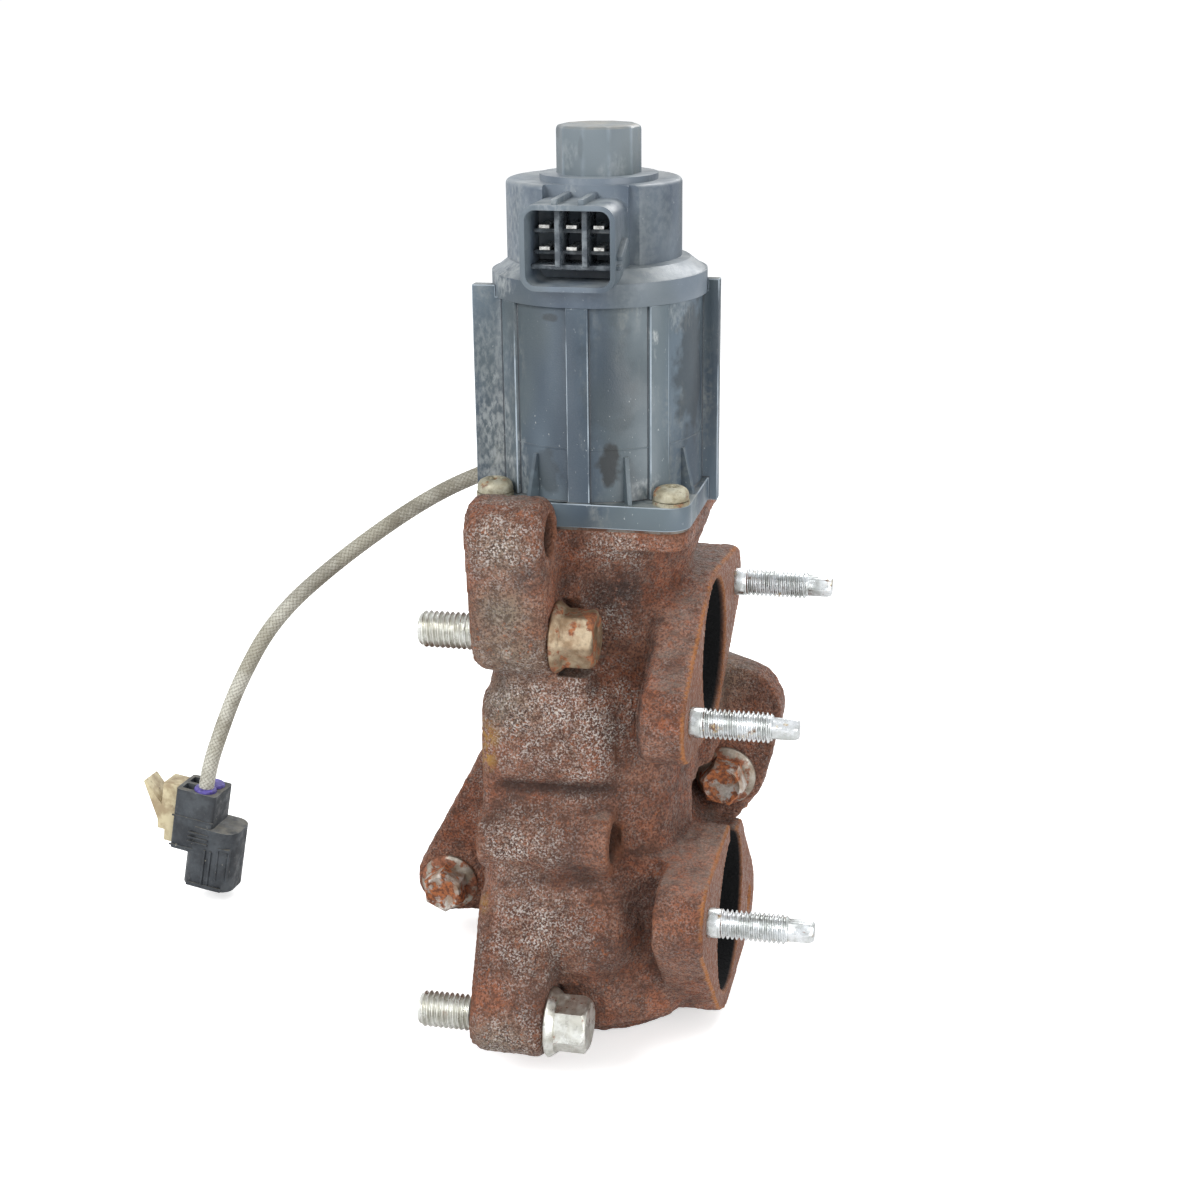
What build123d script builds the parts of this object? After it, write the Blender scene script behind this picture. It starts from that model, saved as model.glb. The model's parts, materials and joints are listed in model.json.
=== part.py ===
from build123d import *
from math import cos, sin, tan, pi, radians
import os

# Electric exhaust gas recirculation valve: ported casting, stepping motor, poppet valve and sensor lead.
# Millimetres, +Z up along the valve axis. The origin lies on the engine-side face, level with its middle boss.

os.makedirs("parts", exist_ok=True)

# ---------------------------------------------------------------- driving dimensions
# clearances
slip = 0.05              # radial, between a fixed pin and its hole
running = 0.05           # radial, of a shaft that turns or slides
seat_gap = 0.05          # between faces that meet on different bodies
loose = 0.3              # between neighbours that never touch

# engine side: plate, upper lug, middle boss and their holes
axis_x = 26.3            # engine face to valve axis
lug_thick = 21.0
lug_r = 9.8
lug_round = 3.0
bolt_r = 5.0
bolt_hole_r = 5.5
bolt_reach = 16.0        # thread beyond the engine face
bolt_flats = 14.0
bolt_head_high = 8.6
bolt_washer_r = 9.6
head_flange = 2.6        # thickness of a flange bolt's own washer
shank_waist = 0.3        # how much thinner a shank is than its thread
top_hole = (-38.0, 85.4)       # Y, Z of the holes in the engine face
upper_bolt = (-34.0, 56.2)
middle_hole = (-35.0, -2.0)
lower_bolt = (-48.0, -51.5)
middle_boss_r = 9.2
middle_boss_long = 36.5

# chamber and neck
chamber_out_r = 27.0
chamber_low = -69.0
chamber_high = 32.0
wall = 6.5
neck_out_r = 22.8
flare_low = 62.0
flange_thick = 5.0
gasket_thick = 0.8
motor_z = 85.0           # underside of the motor
upper_chamber_r = 18.8
well_r = 15.0            # spring well under the motor
well_floor = 70.0
roof_low = 64.0
cast_top = motor_z - gasket_thick
plate_front = -30.0      # Y of the corners' centres along the engine plate's front
skin_r = 8.0             # of the plate's and the belly's blended corners
shoulder_high = 42.0     # top of the belly, below the upper bolt's lug
foot_step = 7.0          # the belly's lower half stands that much further out

# right-hand gas flanges: face X, port centre Y Z, port radius, near and far stud Y Z
upper_face = 58.2
upper_port = (-0.5, 43.4)
upper_port_r = 19.6
upper_near = (-38.8, 36.7)
upper_far = (37.8, 51.0)
upper_rim = 3.4
lower_face = 63.8
lower_port = (-2.0, -36.5)
lower_port_r = 22.8
lower_near = (-41.2, -20.0)
lower_far = (37.0, -52.0)
lower_rim = 6.2
port_flange_thick = 13.8
port_mouth = 15.0        # depth of the machined bore in each gas port
port_step = 1.6          # by how much the cast passage behind it is narrower, radially
ear_r = 11.6
stud_r = 4.0
stud_reach = 21.5        # thread beyond the flange
stud_drive = 7.0         # star drive end beyond the thread
stud_depth = 13.0
stud_waist = 0.65        # by which the buried end is thinner, radially

# rear flange, in X Z, with its bolts
rear_front = 28.0        # Y of its front face
rear_thick = 10.0
rear_left = (-29.6, -50.0)
rear_right = (57.8, -6.0)
rear_lobe = (60.3, 14.0)
rear_top = (13.0, 25.0)
rear_port = (22.0, -34.0)
rear_port_r = 16.5
rear_ear_r = 11.3
rear_lobe_r = 13.5
rear_boss = 2.0
rear_bolt_r = 4.0
rear_hole_r = 4.5
rear_flats = 12.0
rear_head_high = 6.6
rear_washer_r = 9.0
cover_thick = 8.0
cover_lobe_r = 9.5

# valve
seat_bore_r = 12.8
seat_out_r = 16.0
seat_thick = 8.0
stem_r = 3.5
bush_r = 6.0
bush_low = 55.0
poppet_r = 15.4
poppet_thick = 3.6
lift = 4.5
spring_r = 9.6
spring_wire = 0.9        # radius of the wire
spring_turns = 3.5
retainer_r = 12.6
retainer_thick = 2.6
retainer_low = 84.3
stem_top = 89.9
plug_r = 17.0
plug_thick = 7.5

# motor
base_half = 28.85        # half the width of the motor's square base
flange_half = base_half - 0.05
base_thick = 6.4
base_corner = 6.5
screw_inset = 5.15       # from the base's edge to its screws
pitch_half = base_half - screw_inset
corners = [(sx * pitch_half, sy * pitch_half) for sx in (-1, 1) for sy in (-1, 1)]
screw_r = 2.5
screw_head_r = 4.7
screw_head_high = 3.6
screw_washer_high = 1.0
shell_r = base_half - 1.55
shell_wall = 2.5
rim_z = 142.4
rim_r = shell_r + 1.2
rim_high = 6.0
tower_r = shell_r - 4.1
tower_shift = (-2.0, 3.0)      # of the tower from the valve axis
tower_notch = 5.5        # depth of the notch over the connector
notch_left = -10.7       # of the notch, from the valve axis
notch_right = 14.5
notch_back = -15.6
recess_back = -14.2      # of the groove between the shroud and the right lobe
cap_boss_r = 15.5
cap_boss_high = 1.6
tower_z = 171.5
cap_r = 11.1
cap_z = 185.3
cap_turn = 8.6           # direction of one of its ten corners
fin_out = shell_r + 4.0
fin_thick = 3.5
fin_left = -12.5         # Y of the left fin
fin_right = 6.0
pilaster_wide = 5.8
pilaster_proud = 1.0
floor_z = 93.0
floor_thick = 4.0
stator_low = 103.6
stack_high = 16.8
stator_r = shell_r - shell_wall - loose
core_sheet = 1.8         # thickness of the stator's outer sheet
pole_sheet = 1.4
bobbin_r = 13.2
magnet_r = 12.3
nut_r = 7.0
journal_r = 5.0
bearing_r = 9.5
bearing_high = 5.0
upper_bearing_z = rim_z - 4.4
screw_od_r = 4.0
screw_flat = 3.0         # from the axis to the flat that keeps the screw from turning
screw_top = 152.0

# connector shroud on the motor
shroud_wide = 24.4
shroud_shift = -1.2      # of its middle from the valve axis
shroud_low = 147.0
shroud_high = 168.4
shroud_front = -32.0
shroud_wall = 1.3
shroud_depth = 15.0
pin_wide = 2.6
pin_thick = 0.8
pin_pitch = 7.0
pin_row = 5.4
pin_level = 159.8        # Z midway between the two rows

# gas temperature sensor behind the neck
sensor_turn = 115.0      # direction from the valve axis, degrees from +X
sensor_tilt = 35.0
sensor_level = 33.0      # where its line meets the valve axis
sensor_face = 37.0       # distance of its sealing face from the valve axis
sensor_end = 58.0        # and of the end of its ferrule
sensor_boss_r = 8.2
sensor_washer_high = 1.2
sensor_thread_long = 13.0
sensor_probe_r = 2.6
probe_long = 9.0
sensor_thread_r = 5.0
sensor_flats = 14.0
sensor_ferrule_r = 3.6

# lead and its plug
lead_r = 2.5
lead_run = 9.0           # straight out of the ferrule
seal_r = 2.8
seal_high = 3.0
socket_wide = 17.0
socket_deep = 15.5
socket_high = 21.0
socket_low = -30.0
socket_wall = 1.6
socket_shift = 5.0       # of the socket from the lead, to the right
wire_pitch = 5.9         # from one wire to the next
plug_left = -8.6
plug_right = 5.2
plug_top = 2.5
plug_foot = -18.5
plug_skirt = 4.2         # of the block beyond each wire
lock_half = 4.6

AX = Pos(axis_x, 0, 0)
UP = (Align.CENTER, Align.CENTER, Align.MIN)


# ---------------------------------------------------------------- shared shapes
def rod(radius, low, high):
    """Round bar along Z on the valve axis."""
    return AX * Pos(0, 0, low) * Cylinder(radius, high - low, align=UP)


def ring(outer, inner, low, high):
    """Flat-ended ring along Z on the valve axis."""
    return rod(outer, low, high) - rod(inner, low - 1, high + 1)


def cone(low_r, high_r, low, high):
    return AX * Pos(0, 0, low) * Cone(low_r, high_r, high - low, align=UP)


def rod_x(radius, start, end, place):
    """Round bar along X, place being its Y and Z."""
    return Pos(start, *place) * Rot(0, 90, 0) * Cylinder(radius, end - start, align=UP)


def rod_y(radius, start, end, place):
    """Round bar along Y, place being its X and Z."""
    return Pos(place[0], start, place[1]) * Rot(-90, 0, 0) * Cylinder(radius, end - start, align=UP)


def block(low, high):
    size = [b - a for a, b in zip(low, high)]
    return Pos(*low) * Box(*size, align=(Align.MIN, Align.MIN, Align.MIN))


def hull_of(circles):
    """Outline round a group of circles, each (u, v, radius)."""
    edges = [edge for u, v, r in circles for edge in (Pos(u, v) * Circle(r)).edges()]
    return make_hull(edges)


def plate_x(circles, start, end):
    """Plate normal to X, its circles in Y and Z."""
    face = Plane(origin=(start, 0, 0), x_dir=(0, 1, 0), z_dir=(1, 0, 0))
    return extrude(face * hull_of(circles), end - start)


def plate_z(circles, low, high):
    """Plate normal to Z, its circles in X and Y."""
    return Pos(0, 0, low) * extrude(hull_of(circles), high - low)


def rounded(plate, along, radius):
    """Plate with both rims of its outline rounded."""
    faces = plate.faces().sort_by(along)
    return fillet(faces[0].edges() + faces[-1].edges(), radius)


def plate_y(circles, start, end):
    """Plate normal to Y, its circles in X and Z."""
    face = Plane(origin=(0, end, 0), x_dir=(1, 0, 0), z_dir=(0, -1, 0))
    return extrude(face * hull_of(circles), end - start)


def hexagon(flats, high):
    return extrude(RegularPolygon(flats / 2, 6, major_radius=False), high)


def flange_bolt(thread_r, through, reach, flats, head_high, washer_r):
    """Bolt along -Z with its bearing face at the origin: head, thinner shank through the joint, then thread."""
    washer = Cone(washer_r, washer_r * 0.86, head_flange, align=UP)
    head = Pos(0, 0, head_flange) * hexagon(flats, head_high)
    head = chamfer(head.edges().filter_by(GeomType.LINE).group_by(Axis.Z)[-1], head_high * 0.12)
    shank = Pos(0, 0, -through - slip) * Cylinder(thread_r - shank_waist, through + slip, align=UP)
    tip = chamfer(Cylinder(thread_r, reach - slip, align=UP).edges().group_by(Axis.Z)[0], thread_r * 0.15)
    return washer + head + shank + Pos(0, 0, -through - reach) * tip


def group(solids):
    return Compound(children=list(solids))


def save(node, shape):
    export_step(shape, os.path.join("parts", node + ".step"))


# ---------------------------------------------------------------- casting
def sensor_frame(distance):
    """Frame on the sensor's line, that far from the valve axis, +Z outwards."""
    turn, tilt = radians(sensor_turn), radians(sensor_tilt)
    way = Vector(cos(turn) * cos(tilt), sin(turn) * cos(tilt), sin(tilt))
    start = Vector(axis_x, 0, sensor_level) + way * distance
    return Location(Plane(origin=start, z_dir=way))


def upper_flange_circles():
    return [(*upper_port, upper_port_r + upper_rim), (*upper_near, ear_r), (*upper_far, ear_r - 0.8)]


def lower_flange_circles():
    return [(*lower_port, lower_port_r + lower_rim), (*lower_near, ear_r), (*lower_far, ear_r)]


def rear_circles(lobe_r, shrink=0.0):
    return [(*rear_left, rear_ear_r - shrink), (*rear_right, rear_ear_r - shrink),
            (*rear_lobe, lobe_r), (*rear_top, 14.0 - shrink), (*rear_port, rear_port_r + 8.0 - shrink)]


def engine_plate():
    """Flat plate on the engine, wider at its foot, where the lower bolt's lug stands."""
    high, low, waist = shoulder_high - skin_r - 2, chamber_low + 19, -22.0
    upper = plate_x([(plate_front + 2, high, skin_r), (plate_front, waist, skin_r), (14, waist, skin_r),
                     (14, chamber_high - skin_r, skin_r)], 0, lug_thick)
    lower = plate_x([(plate_front - foot_step, waist - 2, skin_r), (*lower_bolt, lug_r), (14, low, skin_r),
                     (14, waist, skin_r)], 0, lug_thick)
    return rounded(upper, Axis.X, lug_round) + rounded(lower, Axis.X, lug_round)


def upper_lug():
    """Standing lug in front of the neck, flat behind where the motor's base passes it."""
    lug = rounded(plate_x([(*top_hole, lug_r), (*upper_bolt, lug_r)], 0, lug_thick), Axis.X, lug_round)
    relief = block((-1, -base_half - 0.6, motor_z - 5), (lug_thick + 1, 0, motor_z + 20))
    web = block((8, upper_bolt[0] + 3, chamber_high - 6), (lug_thick, -12, upper_bolt[1] + 6))
    return lug - relief + web


def belly():
    """Swelling of the chamber's wall, level with the engine plate's front and rounded over below the lug."""
    front = plate_front + 0.5
    lower = plate_z([(9, front - foot_step, skin_r), (axis_x, 0, chamber_out_r), (axis_x + 4, front - 2, skin_r),
                     (46, front + 6, skin_r)], -60, -7)
    upper = plate_z([(9, front, skin_r), (axis_x, 0, chamber_out_r), (axis_x + 1, front + 1, skin_r),
                     (42, front + 11, skin_r)], -20, chamber_high)
    wide = hull_of([(9, front + 1, skin_r), (31, front + 2, skin_r), (40, 0, skin_r), (9, 12, skin_r)])
    narrow = hull_of([(9, front + 5, skin_r), (26, front + 8, skin_r), (36, 0, skin_r), (9, 12, skin_r)])
    top = plate_z([(9, front + 0.3, skin_r), (30, front + 1, skin_r), (38, 0, skin_r), (9, 12, skin_r)],
                  chamber_high - 20, shoulder_high)
    slope = loft([Pos(0, 0, chamber_high - 12) * wide, Pos(0, 0, shoulder_high + 6) * narrow])
    return rounded(lower, Axis.Z, 7) + rounded(upper, Axis.Z, 7) + rounded(top, Axis.Z, 7) + slope


def cast_body():
    chamber = rod(chamber_out_r, chamber_low, chamber_high)
    chamber = fillet(chamber.edges().group_by(Axis.Z)[0], 8)
    chamber = fillet(chamber.edges().group_by(Axis.Z)[-1], 3)
    neck = rod(neck_out_r, chamber_high - 4, flare_low + 1)
    flare = cone(neck_out_r, flange_half, flare_low, cast_top - flange_thick)
    top = AX * Pos(0, 0, cast_top - flange_thick) * extrude(
        RectangleRounded(2 * flange_half, 2 * flange_half, base_corner), flange_thick)
    body = chamber + neck + flare + top + engine_plate() + upper_lug() + belly()
    body += rod_x(middle_boss_r, 0, middle_boss_long, middle_hole)
    body += block((0, middle_hole[0], middle_hole[1] - 7), (middle_boss_long - 4, -15, middle_hole[1] + 7))
    # gas flanges and their horns
    horn_root = upper_face - port_flange_thick
    body += rod_x(upper_port_r + 4.0, axis_x, horn_root + 1, upper_port)
    body += plate_x(upper_flange_circles(), horn_root, upper_face)
    horn_root = lower_face - port_flange_thick
    body += rod_x(lower_port_r + 5.2, axis_x, horn_root + 1, lower_port)
    body += plate_x(lower_flange_circles(), horn_root, lower_face)
    # rear flange, its horn and bolt bosses
    body += plate_y(rear_circles(rear_lobe_r), rear_front, rear_front + rear_thick)
    body += rod_y(rear_port_r + 4.5, 0, rear_front + 1, rear_port)
    body += block((axis_x, 8, -20), (upper_face - 2, rear_front + 1, 30))
    for place in (rear_left, rear_right):
        body += rod_y(rear_ear_r - 0.4, rear_front - rear_boss, rear_front + 1, place)
    # sensor boss
    body += sensor_frame(neck_out_r - 4) * Cylinder(sensor_boss_r, sensor_face - neck_out_r + 4, align=UP)
    # engine face, machined flat
    body -= block((axis_x - chamber_out_r - 1, -chamber_out_r, chamber_low - 1),
                  (0, chamber_out_r / 2, chamber_high + 1))
    return body - cast_hollows() - cast_holes()


def cast_hollows():
    """Gas passages: lower chamber, seat bore, upper chamber, spring well and the three ports."""
    hollow = rod(chamber_out_r - wall, chamber_low + plug_thick, -seat_thick / 2)
    hollow += rod(plug_r + slip, chamber_low - 1, chamber_low + plug_thick + 1)
    hollow += rod(seat_out_r + slip, -seat_thick / 2 - 1, seat_thick / 2 + 1)
    guide = rod(bush_r + 3.0, bush_low, roof_low + 1)
    hollow += rod(upper_chamber_r, seat_thick / 2, roof_low) - guide
    hollow += rod(bush_r + slip, bush_low - 1, well_floor + 1)
    hollow += rod(well_r, well_floor, cast_top + 1)
    hollow += rod_x(upper_port_r - port_step, axis_x, upper_face, upper_port) - guide - rod(40, roof_low, 90)
    hollow += rod_x(upper_port_r, upper_face - port_mouth, upper_face + 1, upper_port)
    hollow += rod_x(lower_port_r - port_step, axis_x, lower_face, lower_port)
    hollow += rod_x(lower_port_r, lower_face - port_mouth, lower_face + 1, lower_port)
    hollow += rod_y(rear_port_r, 0, rear_front + rear_thick + 1, rear_port)
    return hollow


def cast_holes():
    """Bolt, stud, screw and sensor holes, and the room for the rear bolts' heads."""
    cuts = rod_x(bolt_hole_r, -1, lug_thick + 1, top_hole)
    for place in (upper_bolt, lower_bolt):
        cuts += rod_x(bolt_hole_r, -1, lug_thick + 1, place)
        cuts += rod_x(lug_r + 0.2, lug_thick, lug_thick + 20, place)
    cuts += rod_x(bolt_hole_r, -1, middle_boss_long + 1, middle_hole)
    for face, place in ((upper_face, upper_near), (upper_face, upper_far),
                        (lower_face, lower_near), (lower_face, lower_far)):
        cuts += rod_x(stud_r - stud_waist + slip, face - stud_depth - 0.5, face + 1, place)
    for place in (rear_left, rear_right):
        cuts += rod_y(rear_hole_r, rear_front - 20, rear_front + rear_thick + 1, place)
        cuts += rod_y(rear_ear_r - 0.6, rear_front - rear_boss - 30, rear_front - rear_boss, place)
    for dx, dy in corners:
        cuts += Pos(dx, dy, 0) * rod(screw_r + slip, cast_top - flange_thick - 1, cast_top + 1)
    cuts += sensor_frame(0) * Cylinder(sensor_thread_r + slip, sensor_face + 1, align=UP)
    return cuts


def fixed_valve_pieces():
    seat_half = seat_thick / 2
    seat = ring(seat_out_r, seat_bore_r, -seat_half, seat_half)
    save("seat_ring", seat)
    save("stem_bush", ring(bush_r, stem_r + running, bush_low, well_floor))
    save("stem_seal", ring(bush_r + 1.4, stem_r + running, well_floor, well_floor + 1.4))
    plug = rod(plug_r, chamber_low, chamber_low + plug_thick)
    save("core_plug", plug - rod(plug_r - 3, chamber_low - 1, chamber_low + plug_thick - 2))
    outline = RectangleRounded(2 * flange_half - 1, 2 * flange_half - 1, base_corner)
    sheet = AX * Pos(0, 0, cast_top) * extrude(outline, gasket_thick)
    sheet -= rod(well_r + 0.8, cast_top - 1, motor_z + 1)
    for dx, dy in corners:
        sheet -= Pos(dx, dy, 0) * rod(screw_r + 0.5, cast_top - 1, motor_z + 1)
    save("base_gasket", sheet)


def rear_cover_pieces():
    gasket_y = rear_front + rear_thick
    cover_y = gasket_y + gasket_thick
    gasket = plate_y(rear_circles(cover_lobe_r, 1.0), gasket_y, cover_y)
    gasket -= rod_y(rear_port_r + 1.0, gasket_y - 1, cover_y + 1, rear_port)
    cover = plate_y(rear_circles(cover_lobe_r, 0.8), cover_y, cover_y + cover_thick)
    cover += rod_y(rear_port_r + 2.0, cover_y + 1, cover_y + cover_thick + 3, rear_port)
    for place in (rear_left, rear_right):
        gasket -= rod_y(rear_hole_r, gasket_y - 1, cover_y + 1, place)
        cover -= rod_y(rear_bolt_r + slip, cover_y - 1, cover_y + cover_thick + 1, place)
    save("rear_gasket", gasket)
    save("rear_cover", cover)
    seat_y = rear_front - rear_boss
    reach = cover_y + cover_thick - seat_y - 0.5
    bolt = flange_bolt(rear_bolt_r, 2.0, reach - 2.0, rear_flats, rear_head_high, rear_washer_r)
    save("rear_bolts", group(Pos(x, seat_y, z) * Rot(90, 0, 0) * bolt for x, z in (rear_left, rear_right)))


def engine_bolts():
    bolt = flange_bolt(bolt_r, lug_thick, bolt_reach, bolt_flats, bolt_head_high, bolt_washer_r)
    save("mount_bolts", group(Pos(lug_thick, *place) * Rot(0, 90, 0) * bolt
                              for place in (upper_bolt, lower_bolt)))


def star_stud():
    """Stud along +Z with the flange's face at the origin, and an outside six-lobe drive at its tip."""
    buried = Pos(0, 0, -stud_depth) * Cylinder(stud_r - stud_waist, stud_depth + slip, align=UP)
    thread = Cylinder(stud_r, stud_reach - slip, align=UP)
    thread = Pos(0, 0, slip) * chamfer(thread.edges().group_by(Axis.Z)[-1], stud_r * 0.17)
    drive = Circle(stud_r * 0.78)
    for turn in range(6):
        drive -= Rot(0, 0, 60 * turn) * Pos(stud_r * 0.93, 0) * Circle(stud_r * 0.24)
    return buried + thread + Pos(0, 0, stud_reach) * extrude(drive, stud_drive)


def flange_studs():
    stud = star_stud()
    places = ((upper_face, upper_near), (upper_face, upper_far), (lower_face, lower_near))
    save("flange_studs", group(Pos(face, *place) * Rot(0, 90, 0) * stud for face, place in places))


# ---------------------------------------------------------------- moving valve
def valve_pieces():
    poppet_top = -seat_thick / 2 - seat_gap
    poppet_low = poppet_top - poppet_thick
    poppet = rod(poppet_r, poppet_low, poppet_top)
    poppet += cone(stem_r + 1.5, poppet_r - 2, poppet_low - 5, poppet_low)
    poppet -= rod(stem_r - 0.5 + slip, poppet_low - 6, poppet_top + 1)
    save("poppet", poppet)
    stem = rod(stem_r - 0.5, poppet_low - 6.5, poppet_top) + rod(stem_r, poppet_top, stem_top)
    groove = retainer_low + retainer_thick - 1.0
    stem -= ring(stem_r + 1, stem_r - 0.7, groove, groove + 0.7)
    save("valve_stem", stem)
    shield_low = bush_low - lift - 6.0
    shield = ring(stem_r + 6.5, stem_r + slip, shield_low, shield_low + 1.2)
    save("soot_shield", shield + ring(stem_r + 2.2, stem_r + slip, shield_low - 2.5, shield_low))
    cotter_r = stem_r + 2.0
    retainer = ring(retainer_r, cotter_r + slip, retainer_low, retainer_low + retainer_thick)
    save("spring_retainer", retainer + ring(spring_r - spring_wire - loose, cotter_r + slip, retainer_low - 1.5,
                                            retainer_low))
    cotter = ring(cotter_r, stem_r + slip, retainer_low - 1.0, retainer_low + retainer_thick)
    cotter += ring(stem_r + 1, stem_r - 0.7 + slip, groove + slip, groove + 0.6)
    split = 0.25
    behind = cotter & AX * block((-20, split, 0), (20, 20, 200))
    before = cotter & AX * block((-20, -20, 0), (20, -split, 200))
    save("stem_cotters", group((behind, before)))
    spring()


def spring():
    low = well_floor + spring_wire + 0.02
    high = retainer_low - spring_wire - 0.02
    path = Helix(pitch=(high - low) / spring_turns, height=high - low, radius=spring_r)
    section = Plane(origin=path @ 0, z_dir=path % 0) * Circle(spring_wire)
    save("return_spring", AX * Pos(0, 0, low) * sweep(section, path=path, is_frenet=True))


# ---------------------------------------------------------------- motor
def motor_housing():
    square = RectangleRounded(2 * base_half, 2 * base_half, base_corner)
    base = AX * Pos(0, 0, motor_z) * extrude(square, base_thick)
    shell = base + rod(shell_r, motor_z, rim_z)
    fin_high = rim_z + 3.0 - motor_z
    for toward, offset in ((Align.MAX, fin_left), (Align.MIN, fin_right)):
        fin = Box(fin_out, fin_thick, fin_high, align=(toward, Align.CENTER, Align.MIN))
        shell += AX * Pos(0, offset, motor_z) * fin
    for turn in (-135, -90, -45, 45, 90, 135):
        rib = block((shell_r - 2, -pilaster_wide / 2, motor_z),
                    (shell_r + pilaster_proud, pilaster_wide / 2, rim_z))
        shell += AX * Rot(0, 0, turn) * rib
    shell -= rod(rim_r + 0.1, rim_z, rim_z + 20)
    shell -= rod(shell_r - shell_wall, floor_z + floor_thick, rim_z + 10)
    shell -= rod(well_r + 0.5, motor_z - 1, floor_z)
    pocket_low = floor_z + floor_thick
    shell += ring(bearing_r + 2.5, bearing_r + slip, pocket_low - 1, pocket_low + bearing_high)
    shell -= rod(bush_r + 1.5 + slip, floor_z - 1, pocket_low + 1)
    for dx, dy in corners:
        shell -= Pos(dx, dy, 0) * rod(screw_r + 0.3, motor_z - 1, motor_z + base_thick + 1)
        shell -= Pos(dx, dy, 0) * rod(screw_head_r + 0.5, motor_z + base_thick, rim_z + 20)
    save("motor_housing", shell)


def base_screws():
    seat = motor_z + base_thick
    bearing_face = seat + screw_washer_high
    shank = Pos(0, 0, cast_top - flange_thick + 1 - bearing_face) * Cylinder(
        screw_r, bearing_face - cast_top + flange_thick - 1, align=UP)
    head = Cylinder(screw_head_r, screw_head_high, align=UP)
    head = fillet(head.edges().group_by(Axis.Z)[-1], screw_head_high * 0.39)
    slot = Pos(0, 0, screw_head_high * 0.6) * hexagon(screw_r * 1.6, screw_head_high)
    screw = shank + (head - slot)
    save("base_screws", group(AX * Pos(dx, dy, bearing_face) * screw for dx, dy in corners))
    save("screw_washers", group(Pos(dx, dy, 0) * ring(screw_head_r + 0.2, screw_r + 0.3, seat, bearing_face)
                                for dx, dy in corners))


def upper_cover():
    """Rim, shoulder and tower, with the wall behind the connector shroud and the upper bearing's seat."""
    inner = tower_r - shell_wall
    shoulder_z = rim_z + rim_high
    cover = rod(rim_r, rim_z, shoulder_z) + cone(rim_r - 0.6, tower_r + 0.8, shoulder_z, shoulder_z + 3)
    tower = fillet((Pos(*tower_shift) * rod(tower_r, rim_z, tower_z)).edges().group_by(Axis.Z)[-1], 1.2)
    notch_low = tower_z - tower_notch
    shroud_half = shroud_wide / 2
    tower -= AX * block((notch_left, -2 * tower_r, notch_low), (notch_right, notch_back, tower_z + 1))
    tower -= AX * block((shroud_shift + shroud_half, -2 * tower_r, shoulder_z + 3),
                        (notch_right, recess_back, tower_z))
    cover += tower + rod(cap_boss_r, notch_low, tower_z + cap_boss_high)
    shroud_mid = (shroud_low + shroud_high) / 2
    shroud_tall = shroud_high - shroud_low
    outline = RectangleRounded(shroud_wide, shroud_tall, 4.0)
    face = Plane(origin=(axis_x + shroud_shift, shroud_front, shroud_mid), x_dir=(1, 0, 0), z_dir=(0, -1, 0))
    cover += extrude(face * outline, shroud_front + 10)
    cover -= rod(shell_r - shell_wall, rim_z - 1, rim_z + 3)
    cover -= Pos(*tower_shift) * rod(inner, rim_z, notch_low - shell_wall) - shroud_back()
    cover += ring(bearing_r + 2.5, bearing_r + slip, upper_bearing_z, rim_z + 7)
    cover += ring(inner + 0.5, bearing_r + 1, rim_z + 4, rim_z + 7) - shroud_back()
    cover -= rod(screw_od_r + 0.6, rim_z, tower_z + cap_boss_high + 1)
    cavity = RectangleRounded(shroud_wide - 2 * shroud_wall, shroud_tall - 2 * shroud_wall, 4.0 - shroud_wall)
    cover -= extrude(face * cavity, -shroud_depth)
    for bar in terminal_bars(slip):
        cover -= bar
    save("upper_cover", cover)


def shroud_back():
    """Solid wall that carries the terminals."""
    back = shroud_front + shroud_depth
    return AX * Pos(shroud_shift, 0, 0) * block((-shroud_wide / 2, back, rim_z + 3),
                                                (shroud_wide / 2, back + 6, shroud_high))


def terminal_bars(grow=0.0):
    """Six bent blades: forward into the shroud, and down towards the windings."""
    bars = []
    half_wide, half_thick = pin_wide / 2 + grow, pin_thick / 2 + grow
    for column in (-1, 0, 1):
        for row in (0, 1):
            x = column * pin_pitch
            z = pin_level + (row - 0.5) * pin_row
            back = shroud_front + shroud_depth + 2.2 + 2.0 * row
            end = (x + half_wide, back + grow, z + half_thick)
            flat = block((x - half_wide, shroud_front + 5, z - half_thick), end)
            drop = block((x - half_wide, back - pin_thick - grow, rim_z + 1), end)
            bars.append(AX * Pos(shroud_shift, 0, 0) * (flat + drop))
    return bars


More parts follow.
